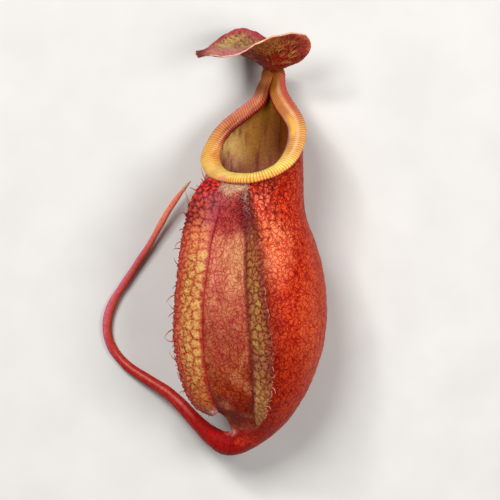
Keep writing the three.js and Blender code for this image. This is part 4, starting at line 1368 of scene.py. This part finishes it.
# %% Lid blade, upper face and underside
def lid_material(name, layers, spots, across):
    """A blade whose streaks and spots are drawn out along rays from the foot of the lid. The spots
    are patches and flecks: the colour of each and the level at which they start."""
    material, tree, skin = new_material(name, Roughness=0.42, IOR=1.36, Specular_IOR_Level=0.25)
    where = add(tree, "TexCoord", out="Object")
    rays_uv = add(tree, "UVMap", uv_map="rays")

    def along_rays(scale, shift, detail):
        at = add(tree, "Mapping", {"Vector": rays_uv, "Scale": scale, "Location": shift})
        return add(tree, "TexNoise", {"Vector": at, "Scale": 1.0, "Detail": detail})

    streak = along_rays((0.9, 0.28, 1), (0, 0, 0), 4.0)
    grain = add(tree, "TexNoise", {"Vector": where, "Scale": each_mm(0.5), "Detail": 2.0})
    colour = painted(tree, weighted_sum(tree, -2.1, (streak, 2.2), (grain, 3.0)), layers)
    margin = add(tree, "Attribute", out="Fac", attribute_name="margin")
    inside = add(tree, "MapRange", {0: margin, 2: 0.6, 3: 1.0, 4: 0.0})
    patches = along_rays((across, 0.36 * across, 1), (7, 3, 0), 5.0)
    flecks = along_rays((2.4, 1.0, 1), (2, 9, 0), 4.0)
    for (spot_colour, start), spot, soft in zip(spots, (patches, flecks), (0.12, 0.05)):
        spot = add(tree, "MapRange", {0: spot, 1: start, 2: start + soft})
        spot = add(tree, "Math", {0: spot, 1: inside}, operation="MULTIPLY")
        colour = add(tree, "Mix", {0: spot, 6: colour, 7: rgba(spot_colour)}, out=2,
                     data_type="RGBA")
    finish(tree, skin, colour, weighted_sum(tree, grain, (streak, 1.0)), 0.4)
    return material


lid_upper = lid_material(
    "lid upper face", ("deep", "pale"), [("#b0a050", 0.53), ("#741c2c", 0.57)], 1.3
)
lid_under = lid_material(
    "lid underside", ("under_deep", "under_pale"), [("#a4743c", 0.53), ("#400808", 0.55)], 0.9
)

# %% Edge of the lid, and flesh of the stalks
lid_edge, tree, skin = new_material("lid edge", Roughness=0.45, IOR=1.45)
where = add(tree, "TexCoord", out="Object")
grain = add(tree, "TexNoise", {"Vector": where, "Scale": each_mm(1.2), "Detail": 3.0})
pale_edge = add(tree, "ValToRGB", {0: grain}, stops=[(0.35, "#c4705c"), (0.65, "#e8b490")])
finish(tree, skin, pale_edge)

flesh, tree, skin = new_material("smooth stalk skin", Roughness=0.42, IOR=1.36)
where = add(tree, "TexCoord", out="Object")
grain = add(tree, "TexNoise", {"Vector": where, "Scale": each_mm(0.8), "Detail": 4.0})
cloud = add(tree, "TexNoise", {"Vector": where, "Scale": each_mm(2.6), "Detail": 3.0})
level = weighted_sum(tree, -0.55, (grain, 1.2), (cloud, 1.0))
finish(tree, skin, painted(tree, level), grain, 0.35)


# %% Hairs
def hair_material(name, layer, stops, **sockets):
    """Hairs whose colour runs through the stops along a stored layer."""
    material, tree, skin = new_material(name, **sockets)
    along = add(tree, "Attribute", out="Fac", attribute_name=layer)
    finish(tree, skin, add(tree, "ValToRGB", {0: along}, stops=stops))
    return material


hair_red = hair_material("stiff red hair", "tip", Roughness=0.5, IOR=1.5, stops=[
    (0.0, "#8c1820"), (0.45, "#a04030"), (0.8, "#a0704c")])
hair_pale = hair_material("stiff pale hair", "tip", Roughness=0.5, IOR=1.5, stops=[
    (0.0, "#a04c44"), (0.3, "#bc7c6c"), (1.0, "#d0ac98")])
hair_wool = hair_material("soft wool", "beige", Roughness=0.8, IOR=1.4, stops=[
    (0.0, "#b85c60"), (1.0, "#dcc0a0")])

# %% Put the materials on
wear(cup, leaf, wax)
is_inner = np.empty(len(cup.data.vertices), np.float32)
cup.data.attributes["inner"].data.foreach_get("value", is_inner)
for face in cup.data.polygons:
    face.material_index = int(min(is_inner[k] for k in face.vertices) > 0.5)
wear(lid, lid_under, lid_upper, lid_edge)
for piece, material in [
    (lip, gloss), (lid_foot, flesh), (wing_left, quilted), (wing_right, quilted), (tendril, leaf),
    (spur, flesh), (fringe_left, hair_red), (fringe_right, hair_pale), (wool, hair_wool),
]:
    wear(piece, material)

# %% Hang the pieces from the root and hide their imported parts
for piece, node, slot in [
    (cup, "cup", "cup"), (lip, "lip", "lip"), (lid, "lid", "lid"), (spur, "spur", "stalk"),
    (wing_left, "wing_left", "wing"), (wing_right, "wing_right", "wing"),
    (tendril, "tendril", "stalk"),
]:
    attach(piece, "root")
    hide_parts(node)
for piece, slot in [
    (lid_foot, "lid"), (fringe_left, "wing"), (fringe_right, "wing"), (wool, "cup"),
]:
    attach(piece, "root")

# %% [markdown]
# ## Floor and light
#
# The floor is a plain sheet of pale card. The light is that of a cloudy window: one large soft
# lamp from the upper left, a weaker one on the right that grazes the belly, and an even grey sky.
# A small lamp beside the large one gives the wet glints on the lip and the shoulder.

# %% Floor
FLOOR_SIZE = 3.0
select_only()
bpy.ops.mesh.primitive_plane_add(size=FLOOR_SIZE, location=(0, 0, 0))
floor = bpy.context.object
floor.name = "floor"
card, tree, skin = new_material("pale card", Roughness=0.9)
where = add(tree, "TexCoord", out="Object")
fibre = add(tree, "TexNoise", {"Vector": where, "Scale": 60.0, "Detail": 2.0})
finish(tree, skin, add(tree, "ValToRGB", {0: fibre}, stops=[(0.3, "#c6c4c0"), (0.7, "#cccac6")]))
wear(floor, card)

# %% Light
bpy.context.scene.view_settings.view_transform = "Standard"
world = bpy.data.worlds.new("sky")
bpy.context.scene.world = world
world.use_nodes = True
sky = world.node_tree.nodes["Background"].inputs
sky["Color"].default_value, sky["Strength"].default_value = rgba("#f4f4f6"), 0.16
LAMP_TARGET = Vector((0, 0.01, 0.02))  # the middle of the pitcher


def lamp(name, location, size, power):
    """A round soft lamp of this size in metres and this power in watts, aimed at the pitcher."""
    data = bpy.data.lights.new(name, "AREA")
    data.shape, data.size, data.energy = "DISK", size, power
    lamp_object = bpy.data.objects.new(name, data)
    bpy.context.scene.collection.objects.link(lamp_object)
    lamp_object.location = location
    aim = LAMP_TARGET - Vector(location)
    lamp_object.rotation_euler = aim.to_track_quat("-Z", "Y").to_euler()


lamp("key", (-0.3, 0.4, 0.8), 0.45, 7.6)
lamp("glint", (-0.42, 0.5, 0.7), 0.1, 1.4)
lamp("fill", (0.45, 0.05, 0.65), 0.45, 4.5)
